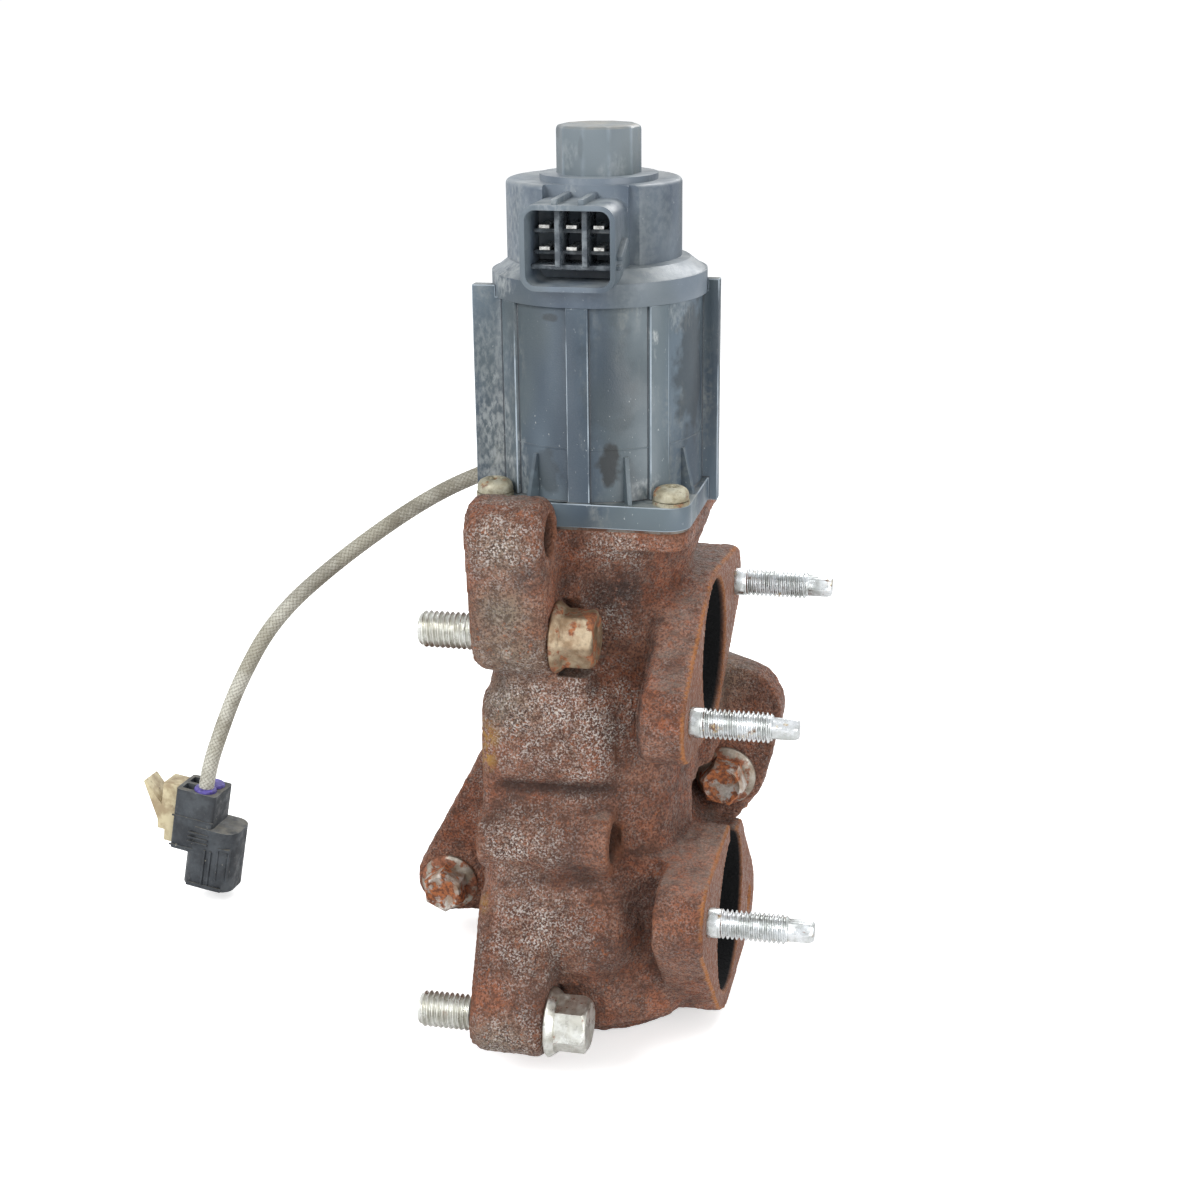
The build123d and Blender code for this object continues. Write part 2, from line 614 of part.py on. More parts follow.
def motor_small_pieces():
    save("connector_terminals", group(terminal_bars()))
    cap_low = tower_z + cap_boss_high
    cap = AX * Pos(0, 0, cap_low) * Rot(0, 0, cap_turn) * extrude(RegularPolygon(cap_r, 10), cap_z - cap_low)
    cap = chamfer(cap.edges().group_by(Axis.Z)[-1], 0.8)
    save("top_cap", cap - rod(cap_r - 3.2, cap_low - 1, cap_z - 2.2))
    ring_r = shell_r - shell_wall - 0.1
    save("cover_seal", ring(ring_r, ring_r - 1.6, rim_z - 1.8, rim_z + 1.8))
    guide_high = floor_z + floor_thick
    guide_hole = rod(screw_od_r + running, floor_z - 1, guide_high + 1)
    guide_hole &= AX * block((-20, -20, 0), (screw_flat + running, 20, 200))
    save("screw_guide", rod(bush_r + 1.5, floor_z, guide_high) - guide_hole)
    save("wave_washer", ring(bearing_r - 0.2, bearing_r - 2.0, upper_bearing_z + bearing_high + 0.3,
                             upper_bearing_z + bearing_high + 1.0))
    for level in range(2):
        low = stator_low + level * (stack_high + 0.4)
        high = low + stack_high
        name = ("lower", "upper")[level]
        pole_low, pole_high = low + pole_sheet, high - pole_sheet
        core = ring(stator_r, stator_r - core_sheet, low, high)
        core += ring(stator_r - 1, bobbin_r, low, pole_low) + ring(stator_r - 1, bobbin_r, pole_high, high)
        save(name + "_stator_core", core)
        spool = ring(stator_r - core_sheet - 0.4, bobbin_r, pole_low, pole_high)
        groove = ring(stator_r, bobbin_r + 1.2, pole_low + 1, pole_high - 1)
        save(name + "_bobbin", spool - groove)
        save(name + "_winding", ring(stator_r - core_sheet - 1.2, bobbin_r + 1.2 + slip,
                                     pole_low + 1 + slip, pole_high - 1 - slip))


def bearing(name, low):
    high = low + bearing_high
    ball_r = 1.3
    mid_r = (bearing_r + journal_r) / 2
    track = AX * Pos(0, 0, (low + high) / 2) * Torus(mid_r, ball_r + running)
    outer = ring(bearing_r, mid_r + 0.8, low, high) - track
    inner = ring(mid_r - 0.8, journal_r + 0.01, low, high) - track
    save(name + "_bearing_outer", outer)
    save(name + "_bearing_inner", inner)
    ball = Pos(mid_r, 0, (low + high) / 2) * Sphere(ball_r)
    save(name + "_bearing_balls", group(AX * Rot(0, 0, 45 * n) * ball for n in range(8)))


def rotor_pieces():
    lower_low = floor_z + floor_thick + 0.2
    bearing("lower", lower_low)
    bearing("upper", upper_bearing_z)
    nut = rod(journal_r, lower_low, upper_bearing_z + bearing_high)
    nut += rod(nut_r - 0.6, lower_low + bearing_high, upper_bearing_z)
    nut += rod(nut_r, lower_low + bearing_high + 1.2, upper_bearing_z - 1.2)
    nut -= rod(screw_od_r + running, lower_low - 1, upper_bearing_z + bearing_high + 1)
    save("rotor_nut", nut)
    save("rotor_magnet", ring(magnet_r, nut_r + 0.01, stator_low + 0.5, stator_low + 2 * stack_high - 0.5))
    low = stem_top + 0.1
    flat_high = floor_z + floor_thick + lift + 0.5
    screw = rod(screw_od_r, low + 1.5, screw_top) + cone(screw_od_r - 1.5, screw_od_r, low, low + 1.5)
    screw = screw - AX * block((screw_flat, -20, low - 1), (20, 20, flat_high))
    save("lead_screw", screw)


# ---------------------------------------------------------------- sensor, lead and plug
def sensor_pieces():
    frame = sensor_frame(sensor_face)
    washer_high, thread_long = sensor_washer_high, sensor_thread_long
    body = frame * Pos(0, 0, washer_high) * hexagon(sensor_flats, 7.0)
    body += frame * Pos(0, 0, -thread_long) * Cylinder(sensor_thread_r, thread_long + washer_high + 1, align=UP)
    ferrule_long = sensor_end - sensor_face - washer_high - 6
    body += frame * Pos(0, 0, washer_high + 6) * Cylinder(sensor_ferrule_r, ferrule_long, align=UP)
    probe = frame * Pos(0, 0, -thread_long - probe_long) * Cylinder(sensor_probe_r, probe_long, align=UP)
    save("sensor_body", body)
    save("sensor_probe", probe)
    gasket = Cylinder(sensor_thread_r + 2.4, washer_high, align=UP) - Cylinder(sensor_thread_r + slip, 9)
    save("sensor_washer", frame * gasket)


def lead_route():
    """Points of the lead from the ferrule, over and down to the plug."""
    start, bend = sensor_frame(sensor_end).position, sensor_frame(sensor_end + lead_run).position
    return [tuple(start), tuple(bend), (-4.1, 56.8, 75.5), (-13.6, 61.8, 76.5), (-24.0, 63.9, 74.5),
            (-45.1, 61.0, 64.2), (-72.8, 54.0, 44.1), (-92.3, 48.0, 26.1), (-103.9, 43.0, 5.0),
            (-110.9, 39.3, -13.6), (-114.4, 37.3, -24.6), (-115.9, 36.6, -33.5)]


def sensor_lead():
    points = [Vector(*p) for p in lead_route()]
    radii = []
    for before, here, after in zip(points, points[1:], points[2:]):
        turn = (here - before).get_angle(after - here)
        shorter = min((here - before).length, (after - here).length)
        radii.append(0.45 * shorter / tan(radians(turn) / 2))
        print("lead bend", round(turn, 1), "degrees, radius", round(radii[-1], 1), "run", round(shorter, 1))
    path = FilletPolyline(*points, radius=radii)
    tube = sweep(Plane(origin=path @ 0, z_dir=path % 0) * Circle(lead_r), path=path)
    expected = pi * lead_r ** 2 * path.length
    print("lead length", round(path.length, 1), "volume ratio", round(tube.volume / expected, 4))
    save("sensor_lead", tube)
    return path


def plug_pieces(path):
    """Plug on the lead: block with the wire seals above, socket below to the right, lock at its left."""
    way = path % 1
    frame = Location(Plane(origin=path @ 1, x_dir=Vector(1, 0, 0) - way * way.X, z_dir=way * -1))
    front, back = -plug_skirt, wire_pitch + plug_skirt
    middle = wire_pitch / 2
    body = block((plug_left, front, plug_foot), (plug_right, back, plug_top))
    body = fillet(body.edges().filter_by(Axis.Z), 1.2)
    shroud = RectangleRounded(socket_wide, socket_deep, 5.0)
    body += Pos(socket_shift, middle, socket_low) * extrude(shroud, socket_high)
    room_wide, room_deep = socket_wide - 2 * socket_wall, socket_deep - 2 * socket_wall
    ceiling = socket_low + socket_high - 4.0
    body -= Pos(socket_shift, middle, socket_low - 1) * extrude(
        RectangleRounded(room_wide, room_deep, 3.6), ceiling - socket_low + 1)
    for y in (0, wire_pitch):
        body -= Pos(0, y, -seal_high) * Cylinder(seal_r, 20, align=UP)
        body -= block((plug_left + 1.2, y - 2.2, -8), (plug_left + 5.2, y + 2.2, plug_top + 1))
    save("plug_housing", frame * body)
    seal = Cylinder(seal_r - slip, seal_high, align=UP)
    save("wire_seals", group(frame * Pos(0, y, -seal_high) * seal for y in (0, wire_pitch)))
    edge = plug_left
    outline = Polyline((edge, plug_top - 0.2), (edge - 5.6, plug_top - 0.2), (edge - 5.6, -5),
                       (edge - 12.0, 1.6), (edge - 12.6, 0.8), (edge - 6.4, -11),
                       (edge - 6.0, -14.2), (edge - 3.6, -14.2),
                       (edge - 3.4, plug_foot + 0.6), (edge, plug_foot + 0.6), close=True)
    face = Plane(origin=(0, middle - lock_half, 0), x_dir=(1, 0, 0), z_dir=(0, -1, 0))
    save("plug_lock", frame * extrude(face * make_face(outline), -2 * lock_half))
    seal_outer = RectangleRounded(room_wide - 0.1, room_deep - 0.1, 3.5)
    seal_inner = RectangleRounded(room_wide - 3, room_deep - 3, 2.2)
    save("plug_seal", frame * Pos(socket_shift, middle, ceiling - 2.0) * extrude(seal_outer - seal_inner, 2.0))
    blade = Box(1.8, 0.7, 8.0, align=(Align.CENTER, Align.CENTER, Align.MAX))
    save("plug_terminals", group(frame * Pos(socket_shift, y, ceiling) * blade for y in (0, wire_pitch)))


save("cast_body", cast_body())
fixed_valve_pieces()
rear_cover_pieces()
engine_bolts()
flange_studs()
valve_pieces()
motor_housing()
base_screws()
upper_cover()
motor_small_pieces()
rotor_pieces()
sensor_pieces()
plug_pieces(sensor_lead())
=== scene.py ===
import bpy
import bmesh
import json
import math
import numpy as np
from mathutils import Matrix, Vector, noise

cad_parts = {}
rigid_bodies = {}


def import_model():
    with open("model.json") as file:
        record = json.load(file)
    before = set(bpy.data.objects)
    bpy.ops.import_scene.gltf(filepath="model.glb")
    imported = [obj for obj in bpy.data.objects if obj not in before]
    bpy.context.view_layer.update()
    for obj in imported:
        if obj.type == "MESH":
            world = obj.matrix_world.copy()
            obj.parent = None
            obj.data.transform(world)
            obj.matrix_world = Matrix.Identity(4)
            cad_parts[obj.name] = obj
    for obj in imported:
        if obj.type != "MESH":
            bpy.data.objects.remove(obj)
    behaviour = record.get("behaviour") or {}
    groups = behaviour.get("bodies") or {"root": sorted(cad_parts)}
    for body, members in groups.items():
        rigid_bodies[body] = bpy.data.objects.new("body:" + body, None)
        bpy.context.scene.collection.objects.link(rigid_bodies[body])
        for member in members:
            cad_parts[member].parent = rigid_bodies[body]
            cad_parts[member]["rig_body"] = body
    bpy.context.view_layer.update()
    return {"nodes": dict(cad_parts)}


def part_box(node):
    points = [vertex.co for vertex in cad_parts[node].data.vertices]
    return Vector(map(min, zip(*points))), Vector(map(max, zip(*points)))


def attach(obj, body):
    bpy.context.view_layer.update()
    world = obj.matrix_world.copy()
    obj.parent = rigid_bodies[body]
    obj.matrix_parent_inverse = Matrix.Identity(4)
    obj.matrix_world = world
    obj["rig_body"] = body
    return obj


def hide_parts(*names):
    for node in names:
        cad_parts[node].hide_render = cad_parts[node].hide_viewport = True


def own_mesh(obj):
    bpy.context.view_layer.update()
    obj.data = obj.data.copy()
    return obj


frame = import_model()
mm = 0.001


# ---------------- camera
# Eye level with the motor, half a metre away, turned a little to the right of the connector side.
# The lens is a short telephoto, so the four flange studs still spread with distance.
eye = Vector((138.336, -504.309, 228.934)) * mm
turn, pitch, roll = math.radians(12.623), math.radians(19.096), math.radians(-0.568)
right = Vector((math.cos(turn), math.sin(turn), 0))
up = Vector((-math.sin(turn) * math.sin(pitch), math.cos(turn) * math.sin(pitch), math.cos(pitch)))
tilted_right = right * math.cos(roll) + up * math.sin(roll)
tilted_up = up * math.cos(roll) - right * math.sin(roll)
lens = bpy.data.cameras.new("camera")
lens.lens = 58.374
lens.sensor_width = 36
lens.shift_y = 0.01547
lens.clip_start = 0.01
camera = bpy.data.objects.new("camera", lens)
camera.matrix_world = Matrix((
    (tilted_right.x, tilted_up.x, tilted_right.cross(tilted_up).x, eye.x),
    (tilted_right.y, tilted_up.y, tilted_right.cross(tilted_up).y, eye.y),
    (tilted_right.z, tilted_up.z, tilted_right.cross(tilted_up).z, eye.z),
    (0, 0, 0, 1)))
bpy.context.scene.collection.objects.link(camera)
bpy.context.scene.camera = camera


# ---------------- sensor lead
# Two thin wires in a braided glass sleeve, stiff with age. The braid is woven from flat bundles of yarn
# that cross at a slant, and handling has left it grey and slightly shiny.
def srgb(red, green, blue):
    """Colour of a surface given in 0 to 255 screen values."""
    parts = [c / 255 for c in (red, green, blue)]
    return tuple(c / 12.92 if c < 0.04045 else ((c + 0.055) / 1.055) ** 2.4 for c in parts) + (1.0,)


def place(kind, inputs=None, **settings):
    """Adds a shader node to the tree in hand; inputs are plain values or sockets to link from."""
    made = tree.nodes.new(kind)
    for key, value in settings.items():
        setattr(made, key, value)
    for key, value in (inputs or {}).items():
        if isinstance(value, bpy.types.NodeSocket):
            tree.links.new(value, made.inputs[key])
        else:
            made.inputs[key].default_value = value
    return made


def effect(name, sockets, result):
    """A node group with the given inputs {name: default}, now in hand; returns its input and output nodes."""
    global tree
    tree = bpy.data.node_groups.new(name, "ShaderNodeTree")
    for key, value in sockets.items():
        vector = isinstance(value, tuple)
        made = tree.interface.new_socket(key, in_out="INPUT",
                                         socket_type="NodeSocketVector" if vector else "NodeSocketFloat")
        made.default_value = value
    tree.interface.new_socket(result, in_out="OUTPUT", socket_type="NodeSocketFloat")
    return tree.nodes.new("NodeGroupInput"), tree.nodes.new("NodeGroupOutput")


# grain: patches of cloudy noise in the piece's own space, cut to a mask between two levels
given, out = effect("grain", {"Scale": 100.0, "Detail": 3.0, "Low": 0.45, "High": 0.6,
                              "Stretch": (1.0, 1.0, 1.0), "Shift": (0.0, 0.0, 0.0)}, "Mask")
grain_tree = tree
where = place("ShaderNodeTexCoord").outputs["Object"]
moved = place("ShaderNodeVectorMath", {0: where, 1: given.outputs["Shift"]}, operation="ADD")
drawn = place("ShaderNodeVectorMath", {0: moved.outputs[0], 1: given.outputs["Stretch"]},
              operation="MULTIPLY")
cloud = place("ShaderNodeTexNoise", {"Vector": drawn.outputs[0], "Scale": given.outputs["Scale"],
                                     "Detail": given.outputs["Detail"], "Roughness": 0.62})
cut = place("ShaderNodeMapRange", {"Value": cloud.outputs["Fac"], "From Min": given.outputs["Low"],
                                   "From Max": given.outputs["High"]}, interpolation_type="SMOOTHSTEP")
tree.links.new(cut.outputs["Result"], out.inputs["Mask"])

# settled: how far a surface faces upwards, broken by noise, for dust that lies where it falls
given, out = effect("settled", {"Steep": 0.35, "Flat": 0.85, "Scale": 120.0}, "Mask")
settled_tree = tree
facing = place("ShaderNodeSeparateXYZ", {"Vector": place("ShaderNodeNewGeometry").outputs["Normal"]})
slope = place("ShaderNodeMapRange", {"Value": facing.outputs["Z"], "From Min": given.outputs["Steep"],
                                     "From Max": given.outputs["Flat"]}, interpolation_type="SMOOTHSTEP")
where = place("ShaderNodeTexCoord").outputs["Object"]
cloud = place("ShaderNodeTexNoise", {"Vector": where, "Scale": given.outputs["Scale"], "Detail": 5.0})
thin = place("ShaderNodeMapRange", {"Value": cloud.outputs["Fac"], "From Min": 0.3, "From Max": 0.62})
both = place("ShaderNodeMath", {0: slope.outputs["Result"], 1: thin.outputs["Result"]}, operation="MULTIPLY")
tree.links.new(both.outputs[0], out.inputs["Mask"])


def start_material(name, roughness=0.6, metallic=0.0):
    """A new material, whose tree and skin are now in hand."""
    global tree, skin
    made = bpy.data.materials.new(name)
    made.use_nodes = True
    tree = made.node_tree
    skin = tree.nodes["Principled BSDF"]
    skin.inputs["Roughness"].default_value = roughness
    skin.inputs["Metallic"].default_value = metallic
    return made


def grain(scale, low, high, detail=4.0, stretch=(1, 1, 1), shift=(0, 0, 0)):
    """Mask of cloudy patches; scale is how many fit in a metre."""
    made = place("ShaderNodeGroup", node_tree=grain_tree)
    for key, value in (("Scale", scale), ("Detail", detail), ("Low", low), ("High", high),
                       ("Stretch", stretch), ("Shift", shift)):
        made.inputs[key].default_value = value
    return made.outputs["Mask"]


def settled(steep, flat, scale):
    """Mask of what faces upwards, from steep to flat (height of the normal), broken by noise."""
    made = place("ShaderNodeGroup", {"Steep": steep, "Flat": flat, "Scale": scale}, node_tree=settled_tree)
    return made.outputs["Mask"]


def near(centre, reach, stretch, ragged):
    """Mask of a stain round a point of the part, in millimetres, with a ragged outline."""
    where = place("ShaderNodeTexCoord").outputs["Object"]
    cloud = place("ShaderNodeTexNoise", {"Vector": where, "Scale": 260.0, "Detail": 5.0}).outputs["Fac"]
    drawn = place("ShaderNodeVectorMath", {0: where, 1: stretch}, operation="MULTIPLY").outputs[0]
    spot = tuple(c * s * mm for c, s in zip(centre, stretch))
    away = place("ShaderNodeVectorMath", {0: drawn, 1: spot}, operation="DISTANCE").outputs["Value"]
    uneven = place("ShaderNodeMath", {0: cloud, 1: ragged * reach * mm * 2, 2: away},
                   operation="MULTIPLY_ADD")
    start = (1 + ragged) * reach * mm
    ramp = {"Value": uneven.outputs[0], "From Min": start, "From Max": start * 0.8}
    return place("ShaderNodeMapRange", ramp).outputs["Result"]


def layer(under, over, mask):
    """Colour over another colour where the mask is 1."""
    return place("ShaderNodeMix", {0: mask, 6: under, 7: over}, data_type="RGBA").outputs[2]


def blend_values(low, high, mask):
    return place("ShaderNodeMix", {0: mask, 2: low, 3: high}, data_type="FLOAT").outputs[0]


def times(mask, *others):
    """Product of masks and numbers."""
    for other in others:
        mask = place("ShaderNodeMath", {0: mask, 1: other}, operation="MULTIPLY").outputs[0]
    return mask


def either(first, second):
    return place("ShaderNodeMath", {0: first, 1: second}, operation="MAXIMUM").outputs[0]


def paint(first, *coats):
    """Colours the skin: a first colour in screen values, then coats over it, each (colour, mask)."""
    shade = srgb(*first)
    for colour, mask in coats:
        colour = srgb(*colour) if isinstance(colour, tuple) else colour
        shade = layer(shade, colour, mask)
    tree.links.new(shade, skin.inputs["Base Color"])


def roughen(amount):
    tree.links.new(amount, skin.inputs["Roughness"])


def emboss(height, depth, strength=1.0):
    """Raises and sinks the surface by a height mask, depth metres from low to high."""
    made = place("ShaderNodeBump", {"Height": height, "Distance": depth, "Strength": strength})
    tree.links.new(made.outputs["Normal"], skin.inputs["Normal"])


def stored(name):
    """A value kept on the piece's own points."""
    return place("ShaderNodeAttribute", attribute_name=name).outputs["Fac"]


def new_piece(name, points, faces, body, crease=35.0):
    """A mesh in the part's frame, smooth apart from edges sharper than crease, riding on a body."""
    mesh = bpy.data.meshes.new(name)
    mesh.from_pydata([tuple(p) for p in points], [], [tuple(f) for f in faces])
    return finish_piece(name, mesh, body, crease)


def finish_piece(name, mesh, body, crease=35.0):
    """Welds and smooths a mesh and links it as a piece that rides on a body."""
    shaped = bmesh.new()
    shaped.from_mesh(mesh)
    bmesh.ops.remove_doubles(shaped, verts=shaped.verts, dist=1e-6)
    bmesh.ops.recalc_face_normals(shaped, faces=shaped.faces)
    shaped.to_mesh(mesh)
    shaped.free()
    mesh.shade_smooth()
    mesh.set_sharp_from_angle(angle=math.radians(crease))
    made = bpy.data.objects.new(name, mesh)
    bpy.context.scene.collection.objects.link(made)
    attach(made, body)
    return made


def wear(piece, material, slot_name, *replaced):
    """Gives a piece its material and hides the CAD nodes that it stands for; the slot name is not used."""
    piece.data.materials.clear()
    piece.data.materials.append(material)
    if replaced:
        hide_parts(*replaced)
    return piece


lead_route = [Vector(p) * mm for p in (
    (6.221, 43.059, 66.268), (3.105, 49.741, 71.430), (-4.1, 56.8, 75.5), (-13.6, 61.8, 76.5),
    (-24.0, 63.9, 74.5), (-45.1, 61.0, 64.2), (-72.8, 54.0, 44.1), (-92.3, 48.0, 26.1), (-103.9, 43.0, 5.0),
    (-110.9, 39.3, -13.6), (-114.4, 37.3, -24.6), (-115.9, 36.6, -33.5))]
lead_r = 2.5 * mm
yarn_rise = 0.16 * mm
yarn_bundles = 10          # bundles that wind each way
bundle_slant = 1.7 * mm   # travel along the lead from one bundle to the next

line = bpy.data.curves.new("lead_line", "CURVE")
line.dimensions = "3D"
line.resolution_u = 24
spline = line.splines.new("NURBS")
spline.points.add(len(lead_route) - 1)
for point, spot in zip(spline.points, lead_route):
    point.co = (*spot, 1)
spline.order_u = 3
spline.use_endpoint_u = True
holder = bpy.data.objects.new("lead_line", line)
bpy.context.scene.collection.objects.link(holder)
bpy.context.view_layer.update()
traced = bpy.data.meshes.new_from_object(holder.evaluated_get(bpy.context.evaluated_depsgraph_get()))
lead_path = np.array([v.co for v in traced.vertices])
bpy.data.objects.remove(holder)

steps = np.linalg.norm(np.diff(lead_path, axis=0), axis=1)
along = np.concatenate([[0], np.cumsum(steps)])
lead_long = along[-1]
stations = np.linspace(0, lead_long, int(lead_long / (0.25 * mm)))
centres = np.stack([np.interp(stations, along, lead_path[:, k]) for k in range(3)], 1)
ways = np.gradient(centres, axis=0)
ways /= np.linalg.norm(ways, axis=1)[:, None]
around = 50
side = Vector(ways[0]).orthogonal().normalized()
points, weave = [], []
for centre, way, station in zip(centres, ways, stations):
    way = Vector(way)
    side = (side - way * side.dot(way)).normalized()
    cross = way.cross(side)
    for n in range(around):
        angle = 2 * math.pi * n / around
        first = yarn_bundles * angle / (2 * math.pi) + station / bundle_slant
        second = yarn_bundles * angle / (2 * math.pi) - station / bundle_slant
        over = math.cos(math.pi * (math.floor(first) + math.floor(second))) > 0
        strand = first if over else second
        rise = math.sin(math.pi * (strand % 1.0)) ** 0.6
        r = lead_r - yarn_rise * (1 - rise)
        points.append(Vector(centre) + (side * math.cos(angle) + cross * math.sin(angle)) * r)
        weave.append(rise)
rows = len(centres)
faces = [(i * around + n, i * around + (n + 1) % around, (i + 1) * around + (n + 1) % around,
          (i + 1) * around + n)
         for i in range(rows - 1) for n in range(around)]
faces += [tuple(range(around))[::-1], tuple((rows - 1) * around + n for n in range(around))]
braided_lead = new_piece("braided_lead", points, faces, "housing", 80)
kept = braided_lead.data.attributes.new("weave", "FLOAT", "POINT")
kept.data.foreach_set("value", np.array(weave, np.float32))

sleeve = start_material("glass_braid", 0.62)
# gap: painted shade in the gaps between the yarn bundles, where the weave dips
gap = place("ShaderNodeMapRange", {"Value": stored("weave"), "From Min": 0.9, "From Max": 0.35})
paint((206, 204, 192),
      ((170, 166, 150), grain(60, 0.42, 0.6)),
      ((104, 97, 80), times(grain(50, 0.44, 0.6, 6.0, shift=(0.2, 0, 0)), 0.6)),
      ((226, 224, 214), grain(2600, 0.55, 0.75)),
      ((104, 98, 84), times(gap.outputs["Result"], 0.75)))
emboss(grain(3800, 0.3, 0.7, stretch=(1, 1, 0.4)), 0.00008, 0.6)
wear(braided_lead, sleeve, "braid", "sensor_lead")


# ---------------- sensor plug
# Two-way sealed plug moulded in dark nylon: a square rear block with two wire cavities, violet silicone
# wire seals, an oval socket shroud below it, and a beige lock slide pushed in from the side.
def softened(name, node, width, crease=40.0, weld=0.01 * mm):
    """Copy of a CAD node with small radii along its sharp edges, as a moulding or casting has."""
    shaped = bmesh.new()
    shaped.from_mesh(frame["nodes"][node].data)
    bmesh.ops.remove_doubles(shaped, verts=shaped.verts, dist=weld)
    bmesh.ops.dissolve_limit(shaped, angle_limit=math.radians(2), verts=shaped.verts, edges=shaped.edges)
    mesh = bpy.data.meshes.new(name)
    shaped.to_mesh(mesh)
    shaped.free()
    worker = bpy.data.objects.new(name + "_worker", mesh)
    bpy.context.scene.collection.objects.link(worker)
    rounding = worker.modifiers.new("rounding", "BEVEL")
    rounding.width = width
    rounding.segments = 2
    rounding.limit_method = "ANGLE"
    rounding.angle_limit = math.radians(35)
    rounding.use_clamp_overlap = True
    mesh.materials.clear()
    for _ in range(2):
        mesh.materials.append(None)
    mesh.polygons.foreach_set("material_index", np.zeros(len(mesh.polygons), np.int32))
    rounding.material = 1
    bpy.context.view_layer.update()
    result = bpy.data.meshes.new_from_object(worker.evaluated_get(bpy.context.evaluated_depsgraph_get()))
    bpy.data.objects.remove(worker)
    on_edge = np.zeros(len(result.polygons), np.int32)
    result.polygons.foreach_get("material_index", on_edge)
    result.polygons.foreach_set("material_index", np.zeros(len(on_edge), np.int32))
    result.materials.clear()
    shaped = bmesh.new()
    shaped.from_mesh(result)
    bend = np.array([sum(e.calc_face_angle_signed(0.0) for e in f.edges) for f in shaped.faces])
    shaped.free()
    for mark, rounded in (("edge", bend > 0), ("corner", bend < 0)):
        kept = result.attributes.new(mark, "FLOAT", "FACE")
        kept.data.foreach_set("value", (on_edge * rounded).astype(np.float32))
    return finish_piece(name, result, frame["nodes"][node]["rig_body"], crease)


def slab(low, high, round_off, segments=2):
    """Points and faces of a block with rounded edges, in millimetres."""
    shaped = bmesh.new()
    bmesh.ops.create_cube(shaped, size=1.0)
    size = [b - a for a, b in zip(low, high)]
    middle = [(a + b) / 2 for a, b in zip(low, high)]
    for v in shaped.verts:
        v.co = Vector(c * s + m for c, s, m in zip(v.co, size, middle))
    bmesh.ops.bevel(shaped, geom=shaped.edges[:], offset=min(round_off, min(size) * 0.45), segments=segments,
                    affect="EDGES", profile=0.5)
    points = [v.co.copy() for v in shaped.verts]
    faces = [[v.index for v in f.verts] for f in shaped.faces]
    shaped.free()
    return points, faces


def assemble(name, blocks, body, matrix=Matrix.Identity(4), crease=40.0):
    """One piece from several (points, faces) lists in millimetres, placed by a matrix in metres."""
    points, faces = [], []
    for block_points, block_faces in blocks:
        base = len(points)
        points += [matrix @ (Vector(p) * mm) for p in block_points]
        faces += [[base + n for n in f] for f in block_faces]
    return new_piece(name, points, faces, body, crease)


def lathe(rings, count=48):
    """Points and faces of a body of revolution in millimetres; each ring is (radius, height), both may be
    functions of the angle."""
    points, faces = [], []
    for radius, height in rings:
        for n in range(count):
            angle = 2 * math.pi * n / count
            r = radius(angle) if callable(radius) else radius
            z = height(angle) if callable(height) else height
            points.append((r * math.cos(angle), r * math.sin(angle), z))
    for i in range(len(rings) - 1):
        for n in range(count):
            m = (n + 1) % count
            faces.append((i * count + n, i * count + m, (i + 1) * count + m, (i + 1) * count + n))
    faces.append(tuple(range(count))[::-1])
    faces.append(tuple((len(rings) - 1) * count + n for n in range(count)))
    return points, faces


plug_up = (lead_route[-2] - lead_route[-1]).normalized()
plug_right = (Vector((1, 0, 0)) - plug_up * plug_up.x).normalized()
plug_frame = Matrix.Translation(lead_route[-1]) @ Matrix((plug_right, plug_up.cross(plug_right), plug_up)
                                                        ).transposed().to_4x4()
plug_block = softened("plug_block", "plug_housing", 0.45 * mm)
lock_slide = softened("lock_slide", "plug_lock", 0.35 * mm)
ribs = [slab((-2.6, -5.35, z), (4.6, -4.4, z + 0.7), 0.3) for z in (-11.6, -13.2, -14.8)]
ribs += [slab((x, -5.4, -28.5), (x + 0.8, -4.5, -16.2), 0.3) for x in (3.6, 5.6)]
ribs += [slab(low, high, 0.3) for low, high in (
    ((8.2, -5.2, -26.0), (8.9, -4.0, -14.5)), ((11.6, -4.2, -26.0), (12.3, -2.6, -14.5)),
    ((8.2, -5.2, -15.2), (12.3, -3.2, -14.3)), ((-1.2, -5.3, -29.8), (11.0, -4.5, -28.4)))]
ribs += [slab((-8.9, -4.6, z), (5.4, -4.0, z + 0.6), 0.2) for z in (-7.2, -17.6)]
plug_ribs = assemble("plug_ribs", ribs, "housing", plug_frame)

# lips of the wire seals, squeezed up round the sleeve
block_top = 2.5
lip = lathe([(0.05, -0.6), (3.5, -0.6), (3.7, 0.3), (3.4, 0.9), (2.7, 1.1), (0.05, 1.1)], 36)
seal_lips = assemble("seal_lips", [([Vector(p) + Vector((x, y, block_top)) for p in lip[0]], lip[1])
                                   for x, y in ((0, -0.4), (0.4, 5.5))], "housing", plug_frame)

nylon = start_material("dark_nylon", 0.5)
paint((38, 42, 47),
      ((62, 67, 72), grain(140, 0.4, 0.65)),
      # painted highlight along the rounded edges, in patches
      ((112, 114, 112), times(stored("edge"), grain(200, 0.4, 0.6))),
      ((112, 108, 98), times(settled(0.3, 0.95, 300), 0.7)),
      ((150, 146, 134), grain(700, 0.66, 0.76)))
roughen(blend_values(0.38, 0.7, grain(260, 0.35, 0.6)))
emboss(grain(3000, 0.3, 0.7), 0.00004, 0.5)
wear(plug_block, nylon, "plug_plastic", "plug_housing")
wear(plug_ribs, nylon, "plug_plastic")

acetal = start_material("beige_acetal", 0.48)
paint((198, 186, 152), ((156, 138, 108), grain(120, 0.42, 0.6)), ((92, 78, 60), grain(420, 0.62, 0.74)))
emboss(grain(2400, 0.3, 0.7), 0.00005, 0.4)
wear(lock_slide, acetal, "lock_plastic", "plug_lock")


def dress(material, *names):
    """A CAD node whose shape is right keeps it and takes this material."""
    for name in names:
        for held in frame["nodes"][name].material_slots:
            held.material = material


